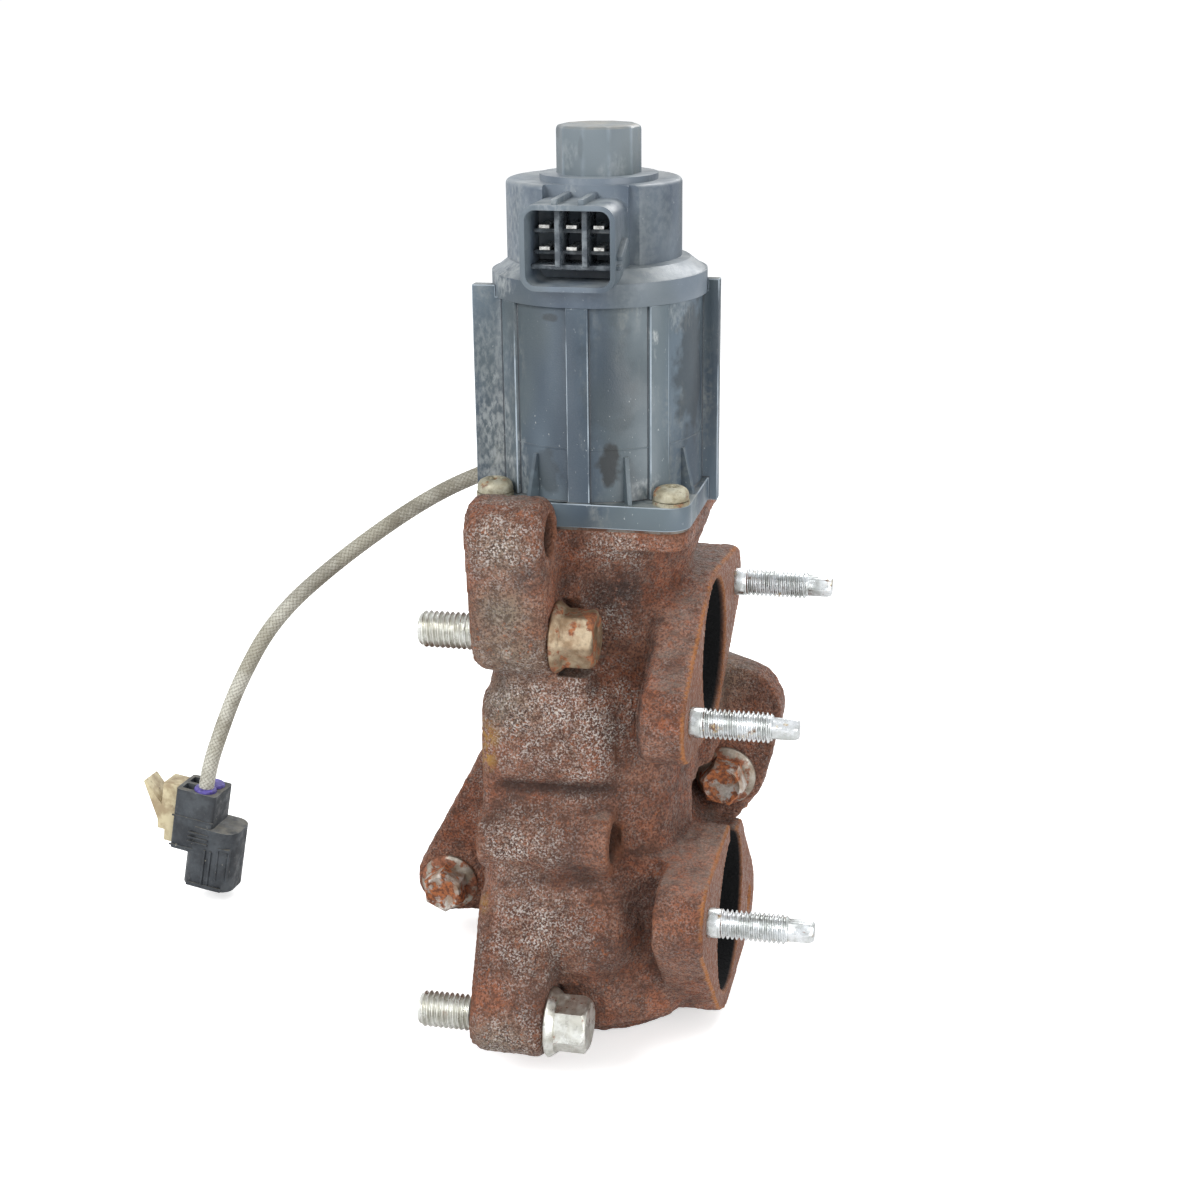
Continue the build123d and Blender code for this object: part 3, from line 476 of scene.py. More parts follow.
def two_tone(name, roughness, metallic, first, second, patches, *nodes):
    """A plain material with patches (scale, low, high) of a second colour, for CAD nodes."""
    made = start_material(name, roughness, metallic)
    paint(first, (second, grain(*patches)))
    dress(made, *nodes)
    return made


silicone = two_tone("violet_silicone", 0.42, 0.0, (96, 84, 168), (70, 60, 130), (600, 0.4, 0.6), "wire_seals")
wear(seal_lips, silicone, "violet_silicone")
two_tone("black_rubber", 0.7, 0.0, (34, 34, 36), (58, 57, 55), (400, 0.45, 0.65), "plug_seal", "cover_seal")
two_tone("tinned_blades", 0.3, 1.0, (222, 222, 218), (158, 156, 150), (700, 0.45, 0.7), "plug_terminals",
         "connector_terminals")
roughen(blend_values(0.2, 0.45, grain(900, 0.4, 0.6)))


# ---------------- cast body
# One sand casting in heat-proof iron: chamber, neck, two gas flanges, rear flange and bolt lugs. The skin is
# rough from the sand and rusted through by heat; only the flange faces, seats and holes are machined.
cast_voxel = 0.8 * mm
axis_x, chamber_r = 26.3, 21.5
upper_face, lower_face, rear_face, cast_top, boss_face = 58.2, 63.8, 38.0, 84.2, 36.5
upper_bolt, lower_bolt = (-34.0, 56.2), (-48.0, -51.5)      # y and z of the engine bolts
seat_x, head_room = 21.6, 10.6
cast_copy = frame["nodes"]["cast_body"].data.copy()
extra = bmesh.new()
extra.from_mesh(cast_copy)
for low, high in (((16, -28.2, 60), (26.6, -14, 84)), ((7, -36.5, 30), (30, -18, 47))):
    # web behind the upper lug, and the belly's shoulder
    size = [(b - a) * mm for a, b in zip(low, high)]
    centre = [(a + b) / 2 * mm for a, b in zip(low, high)]
    bmesh.ops.create_cube(extra, size=1.0, matrix=Matrix.Translation(centre) @ Matrix.Diagonal((*size, 1)))
for centre, size in (((33, -22, 32), (13, 11, 18)), ((27, -32, -29), (17, 13, 17)),
                     ((38, -24, -20), (13, 10, 15))):
    # swellings that run into the two gas flanges and down to the lower lug
    spot = Matrix.Translation(Vector(centre) * mm) @ Matrix.Diagonal((*(Vector(size) * mm), 1))
    bmesh.ops.create_icosphere(extra, subdivisions=4, radius=1.0, matrix=spot)
extra.to_mesh(cast_copy)
extra.free()
worker = bpy.data.objects.new("cast_worker", cast_copy)
bpy.context.scene.collection.objects.link(worker)
fused = worker.modifiers.new("fused", "REMESH")
fused.mode = "VOXEL"
fused.voxel_size = cast_voxel
bpy.context.view_layer.update()
cast_mesh = bpy.data.meshes.new_from_object(worker.evaluated_get(bpy.context.evaluated_depsgraph_get()))
bpy.data.objects.remove(worker)

count = len(cast_mesh.vertices)
spots = np.zeros(count * 3)
cast_mesh.vertices.foreach_get("co", spots)
spots = spots.reshape(-1, 3) / mm
normals = np.zeros(count * 3)
cast_mesh.vertices.foreach_get("normal", normals)
normals = normals.reshape(-1, 3)
edges = np.zeros(len(cast_mesh.edges) * 2, np.int64)
cast_mesh.edges.foreach_get("vertices", edges)
edges = edges.reshape(-1, 2)
ends = np.concatenate([edges[:, 0], edges[:, 1]])
others = np.concatenate([edges[:, 1], edges[:, 0]])
neighbours = np.maximum(np.bincount(ends, minlength=count), 1)


def mean_around(values):
    """Mean of each point's neighbours."""
    return np.stack([np.bincount(ends, weights=values[others, k], minlength=count) / neighbours
                     for k in range(values.shape[1])], 1)


def relax(values, times_over, share):
    """Values drawn towards those of their neighbours, so many times over."""
    for _ in range(times_over):
        values = values + share * (mean_around(values) - values)
    return values


machined = []              # (which points, axis, level)
for axis, level, sign in ((0, 0.0, -1), (0, upper_face, 1), (0, lower_face, 1), (1, rear_face, 1),
                          (2, cast_top, 1), (0, boss_face, 1)):
    flat = (np.abs(spots[:, axis] - level) < 0.55) & (normals[:, axis] * sign > 0.8)
    machined.append((flat, axis, level))
# ports and bolt holes: axis, centre in the other two, radius, from, to
bores = [(0, (-0.5, 43.4), 19.6, 24, 59), (0, (-2.0, -36.5), 22.8, 24, 65), (1, (22.0, -34.0), 16.5, 4, 39),
         (0, (-38.0, 85.4), 5.5, -1, 22), (0, upper_bolt, 5.5, -1, 22), (0, lower_bolt, 5.5, -1, 22),
         (0, (-35.0, -2.0), 5.5, -1, 38)]
in_bore = np.zeros(count, bool)
soot_and_hole_shade = np.zeros(count)
for axis, (c1, c2), radius, start, stop in bores:
    across = [k for k in range(3) if k != axis]
    away = np.hypot(spots[:, across[0]] - c1, spots[:, across[1]] - c2)
    inside = (away < radius + 0.7) & (spots[:, axis] > start) & (spots[:, axis] < stop)
    in_bore |= inside
    # soot in the gas ports and the chamber; in the bolt holes the darkening that deepens inwards is painted
    # shade
    port = radius > 10
    deep = np.clip((stop - 1.0 - spots[:, axis]) / (1.2 if port else 4.0), 0, 1 if port else 0.85)
    soot_and_hole_shade = np.maximum(soot_and_hole_shade, np.where(away < radius + 0.5, deep, 0) * (spots[:, axis] > start))
chamber = (np.hypot(spots[:, 0] - axis_x, spots[:, 1]) < chamber_r) & (spots[:, 2] > -66) & (spots[:, 2] < 68)
soot_and_hole_shade = np.maximum(soot_and_hole_shade, chamber * 1.0)
held = in_bore | chamber
for flat, axis, level in machined:
    held |= flat
held_share, edge_share, rounds = 0.08, 0.3, 34
free = np.where(held, held_share, 1.0)
free = relax(free[:, None], 2, 0.5)
rounded_spots = spots.copy()
for _ in range(rounds):
    # hollows fill faster than edges wear
    step = 0.5 * free * (mean_around(rounded_spots) - rounded_spots)
    filling = np.einsum("ij,ij->i", step, normals) > 0
    rounded_spots = rounded_spots + step * np.where(filling, 1.0, edge_share)[:, None]
for seat_y, seat_z in (upper_bolt, lower_bolt):
    # room for the heads of the engine bolts
    away = np.hypot(rounded_spots[:, 1] - seat_y, rounded_spots[:, 2] - seat_z)
    inside = (rounded_spots[:, 0] > seat_x) & (rounded_spots[:, 0] < 34) & (away < head_room) & (away > 6.5)
    for axis, middle in ((1, seat_y), (2, seat_z)):
        reached = rounded_spots[inside, axis] - middle
        rounded_spots[inside, axis] = middle + reached * head_room / away[inside]
for flat, axis, level in machined:
    rounded_spots[flat, axis] = level
# on the front: a groove over the middle boss with a swelling above it, a hollow under the boss, and
# another one beside the upper flange
x, y, z = rounded_spots.T
front = np.clip((-normals[:, 1] - 0.1) / 0.3, 0, 1) * (y < -20) * np.where(held, 0.0, 1.0)
over_boss = front * np.clip((x - 1.5) / 6, 0, 1) * np.clip((39 - x) / 8, 0, 1)
groove = over_boss * np.exp(-((z - 13.0) / 2.5) ** 2)
under_boss = over_boss * np.exp(-((z + 12.0) / 2.5) ** 2)
beside_flange = (y < -12) * np.exp(-((x - 45.4) / 1.5) ** 2)
beside_flange = beside_flange * np.clip((z - 21) / 5, 0, 1) * np.clip((60 - z) / 6, 0, 1)
rounded_spots[:, 1] += 2.3 * groove + 1.1 * under_boss - 1.0 * over_boss * np.exp(-((z - 21.0) / 4.5) ** 2)
rounded_spots -= normals * (1.3 * beside_flange * free[:, 0])[:, None]
calm = relax(rounded_spots, 20, 0.5)
ridge = np.einsum("ij,ij->i", rounded_spots - calm, normals)
rough = np.zeros(count)
for n, p in enumerate(rounded_spots):
    v = Vector(p)
    rough[n] = 0.34 * noise.noise(v * 0.2) + 0.26 * noise.noise(v * 0.5) + 0.17 * noise.noise(v * 1.1)
rough *= np.where(held, 0.12, 1.0)
rounded_spots += normals * rough[:, None]
cast_mesh.vertices.foreach_set("co", (rounded_spots * mm).ravel())


def around_points(patches):
    """1 in the middle of each patch (x, y, z, reach), 0 beyond its reach; millimetres."""
    share = np.zeros(count)
    for x, y, z, reach in patches:
        away = np.linalg.norm(spots - (x, y, z), axis=1)
        share = np.maximum(share, np.clip(1.25 * (1 - away / reach), 0, 1))
    return share


front_faces = (machined[1][0] | machined[2][0]).astype(float)[:, None]
edge_line = relax(front_faces, 1, 0.6)[:, 0]
pale = around_points(((14, -37, 36, 26), (27, -37, 34, 24), (27, -36, 18, 11), (10, -46, 85, 15),
                      (12, -44, -2, 16), (16, -44, -26, 20), (8, 24, -22, 34), (34, -24, 60, 11),
                      (12, -58, -56, 15), (38, -26, 81, 13)))
grey = around_points(((10, -46, 52, 17), (10, -44, 66, 12), (10, -46, 84, 10), (8, -58, -56, 12),
                      (50, 26, 27, 18), (6, -38, 38, 14)))
ochre = around_points(((1, -35, 27, 6), (1, -36, 21, 5), (0, -44, -19, 4)))
dark_patches_and_shade = around_points(((17, -45, 76, 6), (27, -38, -5, 9), (36, -22, 66, 12), (30, -30, 4, 8)))
x, y, z = spots.T
# painted shadow under the lower edge of the flange slab
under_flange = (y < -12) * np.clip((x - 45) / 3, 0, 1) * np.exp(-((z - 19.5) / 2.2) ** 2)
# dark patches, and painted shade in the groove over the boss, under the boss, beside the flange slab and
# under it
dark_patches_and_shade = np.maximum.reduce([dark_patches_and_shade, 0.5 * groove, 0.5 * under_boss, 0.85 * beside_flange,
                               0.8 * under_flange])
bare = relax(np.where(held & ~chamber, 1.0, 0.0)[:, None], 1, 0.5)[:, 0]
for name, values in (("ridge", np.clip(ridge / 0.7 - 0.25, 0, 1)), ("hollow", np.clip(-ridge / 0.5, 0, 1)),
                     ("soot_and_hole_shade", soot_and_hole_shade), ("bare", bare),
                     ("edge_line", np.clip(4 * edge_line * (1 - edge_line), 0, 1)), ("pale", pale),
                     ("grey", grey), ("ochre", ochre), ("dark_patches_and_shade", dark_patches_and_shade)):
    kept = cast_mesh.attributes.new(name, "FLOAT", "POINT")
    kept.data.foreach_set("value", values.astype(np.float32))
cast_iron = finish_piece("cast_iron", cast_mesh, "housing", 60)

rust = start_material("rusted_casting", 0.8)
skin.inputs["Specular IOR Level"].default_value = 0.36
pits = either(times(grain(1500, 0.47, 0.58, 3.0), 0.68), times(grain(420, 0.5, 0.62, 5.0), 0.62))
pale_where = blend_values(0.22, 1.0, stored("pale"))
pale_where = times(pale_where, grain(210, 0.34, 0.6, 4.0, shift=(0.1, 0.2, 0.9)))
flecks = grain(1700, 0.5, 0.6, 3.0, shift=(0, 0.5, 0))
paint((170, 120, 97),
      ((120, 82, 66), grain(48, 0.36, 0.62, 5.0)),
      ((176, 106, 74), times(grain(80, 0.46, 0.64, 5.0, shift=(0.3, 0, 0)), 0.75)),
      ((150, 142, 124), times(stored("grey"), 0.8)),
      ((66, 44, 37), pits),
      ((72, 48, 40), times(stored("pale"), grain(700, 0.4, 0.56), 0.75)),
      ((168, 98, 60), times(grain(900, 0.56, 0.68, shift=(0, 0, 0.4)),
                            grain(110, 0.4, 0.6, shift=(0.6, 0, 0.2)))),
      ((184, 156, 138), times(stored("pale"), grain(1900, 0.5, 0.6), 0.75)),
      ((226, 217, 210), times(flecks, pale_where)),
      ((178, 108, 62), times(stored("ridge"), grain(240, 0.38, 0.64), 0.4)),
      ((212, 136, 66), times(stored("edge_line"), grain(110, 0.32, 0.5))),
      ((186, 140, 66), times(stored("ochre"), grain(420, 0.42, 0.6))),
      # dark patches and painted shade
      ((58, 50, 48), times(stored("dark_patches_and_shade"), grain(380, 0.3, 0.5), 0.8)),
      # painted shade in the hollows of the casting
      ((60, 42, 36), times(stored("hollow"), 0.75)),
      ((142, 92, 66), times(stored("bare"), 0.6)),
      ((160, 152, 142), times(settled(0.8, 0.98, 260), 0.4)),
      # black soot in the ports and chamber, and painted shade deep in the bolt holes
      ((12, 13, 15), stored("soot_and_hole_shade")))
roughen(either(blend_values(0.36, 0.85, grain(900, 0.4, 0.6)), stored("soot_and_hole_shade")))
fine = place("ShaderNodeMath", {0: grain(1500, 0.25, 0.75, 4.0), 1: grain(560, 0.3, 0.7)},
             operation="ADD").outputs[0]
emboss(fine, 0.00065, 1.0)
wear(cast_iron, rust, "rusted_iron", "cast_body")


# ---------------- rear cover and gaskets
# Cast iron cover over the rear port, with a thin coated steel gasket between it and the machined flange.
rear_lid = softened("rear_lid", "rear_cover", 0.9 * mm)
lid_rust = start_material("rusted_cover", 0.85)
paint((118, 88, 76),
      ((88, 64, 56), grain(70, 0.38, 0.62)),
      ((64, 44, 40), times(grain(850, 0.46, 0.58, 5.0), 0.75)),
      ((160, 96, 66), times(grain(420, 0.56, 0.7), 0.7)),
      ((202, 190, 182), times(grain(1300, 0.54, 0.66, 4.0), 0.45)),
      ((156, 150, 142), times(settled(0.3, 0.9, 260), 0.7)))
emboss(grain(700, 0.28, 0.72, 5.0), 0.0004, 0.9)
wear(rear_lid, lid_rust, "cover_iron", "rear_cover")
dress(lid_rust, "core_plug")
two_tone("gasket_steel", 0.5, 0.8, (120, 116, 110), (92, 66, 54), (200, 0.42, 0.6), "base_gasket",
         "rear_gasket")


# ---------------- engine bolts
# Two M10 flange bolts, cold headed and zinc plated, with rolled threads. The head is a hexagon with a turned
# crown on a conical flange; years of heat have dulled the zinc and let rust through in patches.
def hex_radius(flats):
    return lambda angle: flats / 2 / math.cos((angle + math.pi / 6) % (math.pi / 3) - math.pi / 6)


def hex_head(flats, high, flange_r, flange_high):
    """Head of a flange bolt, standing on z = 0."""
    edge = hex_radius(flats)
    crown = flats * 0.475
    rings = [(flange_r * 0.8, 0), (flange_r - 0.3, 0), (flange_r, 0.35), (flange_r, 0.9),
             (flange_r - 0.25, 1.25), (flats * 0.6, flange_high - 0.1)]
    rings += [(lambda a: edge(a) * 1.02, flange_high + 0.1), (lambda a: edge(a) * 0.995, flange_high + 0.6)]
    top = flange_high + high
    fall = lambda a: max(0.0, edge(a) - crown) * 0.62
    rings += [(lambda a: edge(a) * 0.99, lambda a: top - fall(a) - 0.35),
              (lambda a: edge(a) * 0.965, lambda a: top - fall(a) - 0.02),
              (crown * 0.97, top), (crown * 0.9, top - 0.06), (crown * 0.62, top - 0.35),
              (crown * 0.3, top - 0.4), (0.05, top - 0.4)]
    return lathe(rings, 60)


def thread_rings(radius, thread_pitch, start, stop, taper=1.2):
    """Rings of a right-handed thread from z = start to stop, with a chamfer at stop."""
    depth = 0.61 * thread_pitch
    rings = []
    rows = int(abs(stop - start) / (thread_pitch / 9))
    for n in range(rows + 1):
        z = start + (stop - start) * n / rows
        left = abs(stop - z)
        cap = radius if left > taper else radius - (taper - left) * 0.75
        fade = min(1.0, abs(z - start) / thread_pitch)

        def ring(angle, z=z, cap=cap, fade=fade):
            phase = (z / thread_pitch - angle / (2 * math.pi)) % 1.0
            flank = min(1.0, max(0.0, (abs(phase - 0.5) * 2 - 0.14) / 0.62))
            return min(cap, radius - depth * flank * fade)
        rings.append((ring, z))
    return rings


def bolt_frame(point, direction):
    """Frame in metres with +Z along a direction, at a point in millimetres."""
    turned = Vector((0, 0, 1)).rotation_difference(Vector(direction)).to_matrix().to_4x4()
    return Matrix.Translation(Vector(point) * mm) @ turned


lug_thick, bolt_reach, bolt_r = 21.0, 16.0, 5.0
bolt_tip = -(lug_thick + bolt_reach)
bolt_head = [hex_head(14.0, 8.6, 9.6, 2.6)]
bolt_shank = [lathe([(0.05, bolt_tip), (3.6, bolt_tip)]
                    + thread_rings(bolt_r, 1.5, -lug_thick - 0.05, bolt_tip)[::-1]
                    + [(bolt_r - 0.3, -lug_thick), (bolt_r - 0.3, 0.1)], 40)]


def plated(name, clean, dull, spot, spot_amount, roughness=0.36, pitted=0.6):
    """Zinc plating: bright where it is handled, dull and chalky elsewhere, with rust coming through."""
    made = start_material(name, roughness, 1.0)
    rusty = grain(230, 0.72 - spot_amount, 0.8 - spot_amount, 6.0, shift=(0.2, 0.1, 0.6))
    paint(clean,
          (dull, grain(210, 0.36, 0.62)),
          ((132, 124, 108), times(grain(900, 0.52, 0.7), 0.7 * pitted)),
          (layer(srgb(*spot), srgb(112, 70, 50), grain(800, 0.4, 0.6)), rusty))
    tree.links.new(blend_values(1.0, 0.1, rusty), skin.inputs["Metallic"])
    roughen(either(blend_values(roughness - 0.08, roughness + 0.16, grain(500, 0.35, 0.65)),
                   times(rusty, 0.8)))
    emboss(grain(1400, 0.3, 0.7, 5.0), 0.00008, pitted)
    return made


bolt_zinc = plated("bolt_zinc", (226, 227, 222), (192, 191, 182), (156, 98, 62), 0.07, 0.34, 0.35)
old_zinc = plated("old_zinc", (180, 164, 140), (146, 124, 100), (156, 98, 62), 0.24, 0.58)
for name, spot, head_zinc, spin, crease in (("upper_engine_bolt", upper_bolt, old_zinc, 0, 64),
                                            ("lower_engine_bolt", lower_bolt, bolt_zinc, 12, 30)):
    seat = bolt_frame((lug_thick, *spot), (1, 0, 0)) @ Matrix.Rotation(math.radians(spin), 4, "Z")
    wear(assemble(name + "_head", bolt_head, "housing", seat, crease), head_zinc, "zinc_bolt", "mount_bolts")
    wear(assemble(name + "_thread", bolt_shank, "housing", seat, 70), bolt_zinc, "zinc_bolt", "mount_bolts")


# ---------------- gas flange studs
# M8 studs screwed into the two gas flanges, one hole of the lower flange left empty. Each has a plain collar
# by the flange, a rolled thread, and an outside star drive at its tip.
stud_r, stud_reach, stud_drive, stud_depth = 4.0, 21.5, 7.0, 13.0


def star_radius(share):
    """Outline of a six-lobe drive."""
    return lambda angle: 3.12 * share * (1 - 0.13 * (0.5 - 0.5 * math.cos(6 * angle)) ** 0.8)


buried_r = stud_r - 0.65
stud = [lathe([(0.05, -stud_depth), (buried_r, -stud_depth), (buried_r, 0.0), (stud_r, 0.05), (stud_r, 2.6),
               (stud_r - 0.25, 3.0)] + thread_rings(stud_r, 1.25, 3.1, stud_reach, 0.9)
              + [(star_radius(0.98), stud_reach + 0.1), (star_radius(1.0), stud_reach + 0.5),
                 (star_radius(0.99), stud_reach + stud_drive - 1.3),
                 (star_radius(0.86), stud_reach + stud_drive - 0.3),
                 (2.2, stud_reach + stud_drive), (0.05, stud_reach + stud_drive)], 54)]
stud_zinc = plated("stud_zinc", (224, 227, 229), (184, 187, 185), (196, 180, 140), 0.12, 0.26, 0.15)
for name, spot, spin in (("upper_near_stud", (upper_face, -38.8, 36.7), 10),
                         ("upper_far_stud", (upper_face, 37.8, 51.0), 35),
                         ("lower_near_stud", (lower_face, -41.2, -20.0), 25)):
    seat = bolt_frame(spot, (1, 0, 0)) @ Matrix.Rotation(math.radians(spin), 4, "Z")
    made = assemble(name, stud, "housing", seat, 70)
    wear(made, stud_zinc, "zinc_stud", "flange_studs")


# ---------------- rear bolts
# Two M8 flange bolts that hold the rear cover. They sit low on the hot chamber, so most of the zinc is gone.
rear_edge = hex_radius(12.0)
rear_washer = [lathe([(7.0, 0), (8.7, 0), (9.0, 0.35), (9.0, 1.3), (8.6, 1.7), (7.2, 2.4), (5.0, 2.45)], 48),
               lathe([(0.05, -21.5), (3.2, -21.5), (4.0, -20.7), (4.0, 0.1)], 40)]
rear_crown = [lathe([(rear_edge, 2.2), (rear_edge, 7.9), (lambda a: rear_edge(a) - 0.35, 8.6), (5.4, 9.1),
                     (4.6, 8.9), (3.0, 8.6), (0.05, 8.55)], 60)]
burnt_zinc = plated("burnt_zinc", (172, 166, 156), (140, 128, 114), (150, 96, 70), 0.24, 0.55)
flaked = plated("flaked_zinc", (206, 202, 196), (164, 142, 124), (178, 108, 66), 0.28, 0.6)
for name, spot, spin in (("rear_bolt_left", (-29.6, 26.0, -50.0), 4),
                         ("rear_bolt_right", (57.8, 26.0, -6.0), 20)):
    seat = bolt_frame(spot, (0, -1, 0)) @ Matrix.Rotation(math.radians(spin), 4, "Z")
    wear(assemble(name + "_washer", rear_washer, "housing", seat, 30), burnt_zinc, "rusty_bolt", "rear_bolts")
    wear(assemble(name + "_head", rear_crown, "housing", seat, 25), flaked, "rusty_bolt", "rear_bolts")


# ---------------- motor housing
# Glass-filled plastic can moulded in one with its square base: pilasters down the can, a flat fin at each
# side, and thin gussets beside the four screws. Road dust clings to it and oil has stained it in places.
motor_can = softened("motor_can", "motor_housing", 0.5 * mm)
base_top, shell_r, screw_half = 91.4, 27.3, 23.7


def gusset(angle, high, reach, thick=1.1):
    """Thin upright triangle from the can out over the base; points and faces in millimetres."""
    spot = Matrix.Translation((axis_x, 0, base_top - 0.4)) @ Matrix.Rotation(math.radians(angle), 4, "Z")
    outline = [(shell_r - 1.2, 0), (reach, 0), (reach, 1.0), (shell_r + 0.6, high), (shell_r - 1.2, high)]
    points = [spot @ Vector((r, s * thick / 2, z)) for s in (-1, 1) for r, z in outline]
    count = len(outline)
    faces = [tuple(range(count))[::-1], tuple(range(count, 2 * count))]
    faces += [(n, (n + 1) % count, count + (n + 1) % count, count + n) for n in range(count)]
    return points, faces


gusset_high, gusset_reach = 12.5, 31.0
gussets = [gusset(corner + shift, gusset_high, gusset_reach) for corner in (-135, -45, 45, 135)
           for shift in (-19, 19)]
can_gussets = assemble("can_gussets", gussets, "housing")
axis_frame = Matrix.Translation((axis_x * mm, 0, 0))
band = lathe([(shell_r - 0.6, 105.2), (shell_r + 0.1, 105.3), (shell_r + 0.1, 105.7),
              (shell_r - 0.6, 105.9)], 96)
can_band = assemble("can_band", [band], "housing", axis_frame)


def weathered_plastic(name, fresh, faded, dust, dust_amount, smears=(), stains=()):
    """Dull grey-blue moulding: broad soft tones, painted highlights along the rounded edges and painted shade
    in the creases, dusty on top, with pale smears and oily stains, each (x, y, z, reach, stretch, strength)
    in millimetres."""
    made = start_material(name, 0.5)
    coats = [(faded, grain(24, 0.38, 0.6, 2.0, (1.5, 1.5, 0.55))),
             ((84, 92, 88), times(grain(34, 0.45, 0.62, 2.0, (1, 1, 0.5), (0.5, 0.2, 0)), 0.35)),
             (dust, times(grain(40, 0.5, 0.66, 6.0, (1.7, 1.7, 0.4), (0.2, 0.4, 0.1)),
                          grain(500, 0.35, 0.65, 5.0), dust_amount))]
    coats += [((180, 184, 183), times(near((x, y, z), reach, stretch, 0.8),
                                      grain(900, 0.36, 0.66, 5.0, (1, 1, 0.5)), strength))
              for x, y, z, reach, stretch, strength in smears]
    specks = times(grain(1300, 0.68, 0.76, 2.0, (1, 1, 0.6)),
                   grain(60, 0.46, 0.6, 3.0, (1, 1, 1), (0.8, 0, 0.3)), 0.7)
    # painted highlight along the rounded edges, in patches
    edge_highlight = times(stored("edge"), grain(46, 0.36, 0.62, shift=(0.1, 0.7, 0)))
    coats += [((176, 180, 180), specks), ((150, 162, 172), edge_highlight),
              # painted shade in the creases
              ((30, 37, 45), times(stored("corner"), 0.85))]
    coats += [((28, 32, 34), times(near((x, y, z), reach, stretch, 0.8), strength))
              for x, y, z, reach, stretch, strength in stains]
    paint(fresh, *coats, (dust, times(settled(0.3, 0.9, 160), 0.5)))
    roughen(blend_values(0.3, 0.56, grain(60, 0.35, 0.65)))
    emboss(grain(2200, 0.3, 0.7, 3.0), 0.00004, 0.4)
    return made


upright = (1.0, 1.0, 0.45)
can_plastic = weathered_plastic(
    "can_plastic", (52, 65, 77), (90, 104, 115), (150, 152, 146), 0.4,
    smears=((44.4, -20.4, 135, 1.6, upright, 0.7), (44.4, -20.4, 130, 1.3, upright, 0.65),
            (42, -23.7, 142, 2.0, upright, 0.5), (-1, -13, 116, 14, upright, 0.2),
            (2, -16, 104, 8, upright, 0.25), (8, -22, 95, 5, upright, 0.3),
            (49, -12, 139, 6, (1, 1, 1), 0.3), (44, -24, 94, 5, (1, 1, 1), 0.45)),
    stains=((34.2, -26.1, 101, 4.4, (1.3, 1, 0.75), 0.95), (19, -26.3, 139.5, 2.2, (0.8, 1, 1.6), 0.6),
            (17.6, -25.9, 99, 4.5, (1, 1, 0.7), 0.45), (52.6, -7.3, 124, 9, upright, 0.6),
            (34, -26, 124, 8, upright, 0.25)))
wear(motor_can, can_plastic, "motor_plastic", "motor_housing")
wear(can_gussets, can_plastic, "motor_plastic")
wear(can_band, can_plastic, "motor_plastic")


# ---------------- base screws
# Four pan head screws with loose washers, yellow with old passivation, their recesses full of dirt.
def recess(depth):
    return lambda angle: 3.6 - depth * (0.5 + 0.5 * math.cos(4 * angle)) ** 2


pan = [lathe([(4.2, 0.0), (4.7, 0.25), (4.7, 1.5), (4.5, 2.3), (4.0, 2.95), (3.2, 3.4), (2.4, 3.58),
              (1.9, 3.6), (1.5, recess(0.9)), (0.9, recess(1.1)), (0.05, 2.5)], 48),
       lathe([(4.9, -1.0), (4.9, 0.0), (2.6, 0.0)], 48)]
screw_zinc = plated("screw_zinc", (184, 180, 162), (150, 143, 122), (150, 124, 88), 0.16, 0.66, 0.8)
for name, sx, sy in (("screw_front_left", -1, -1), ("screw_front_right", 1, -1), ("screw_back_left", -1, 1),
                     ("screw_back_right", 1, 1)):
    spot = bolt_frame((axis_x + sx * screw_half, sy * screw_half, base_top + 1.0), (0, 0, 1))
    made = assemble(name, pan, "housing", spot @ Matrix.Rotation(0.4 * sx + 0.9 * sy, 4, "Z"), 35)
    wear(made, screw_zinc, "zinc_screw", "base_screws", "screw_washers")


# ---------------- upper cover
# Moulded lid welded to the can: rim, shoulder, a two-lobed tower over the windings and the shroud of the
# six-way connector, with rails along its top, a latch at its right and partition walls between the blades.
lid = softened("lid", "upper_cover", 0.55 * mm)
shroud_right, shroud_high, shroud_front = 37.3, 168.4, -32.0
rails = [slab((x, shroud_front + 0.8, shroud_high - 0.8), (x + 1.6, -14.6, shroud_high + 1.5), 0.35)
         for x in (20.9, 27.7)]
latch = [slab((shroud_right - 0.4, shroud_front + 1.6, 152.4),
              (shroud_right + 1.0, shroud_front + 4.4, 153.6), 0.3)]
climb = Matrix.Translation((shroud_right, shroud_front + 2.2, 154.6))
climb = climb @ Matrix.Rotation(math.radians(27), 4, "X")
points, faces = slab((-0.5, 0, 0), (1.5, 8.4, 1.5), 0.35)
latch.append(([climb @ Vector(p) for p in points], faces))
cavity_left, cavity_right, cavity_back, cavity_high = 14.2, 36.0, shroud_front + 15.2, 167.2
walls = [slab((x - 0.7, shroud_front + 4.0, 152.6), (x + 0.7, cavity_back, cavity_high), 0.25)
         for x in (21.6, 28.6)]
walls += [slab((cavity_left, shroud_front + 6.0, 151.6), (cavity_right, cavity_back, 152.9), 0.35)]
walls += [slab((cavity_left, shroud_front + 9.0, z), (cavity_right, cavity_back, z + 1.1), 0.3)
          for z in (155.0, 160.4)]
lid_details = assemble("lid_details", rails + latch, "housing")
shroud_walls = assemble("shroud_walls", walls, "housing")

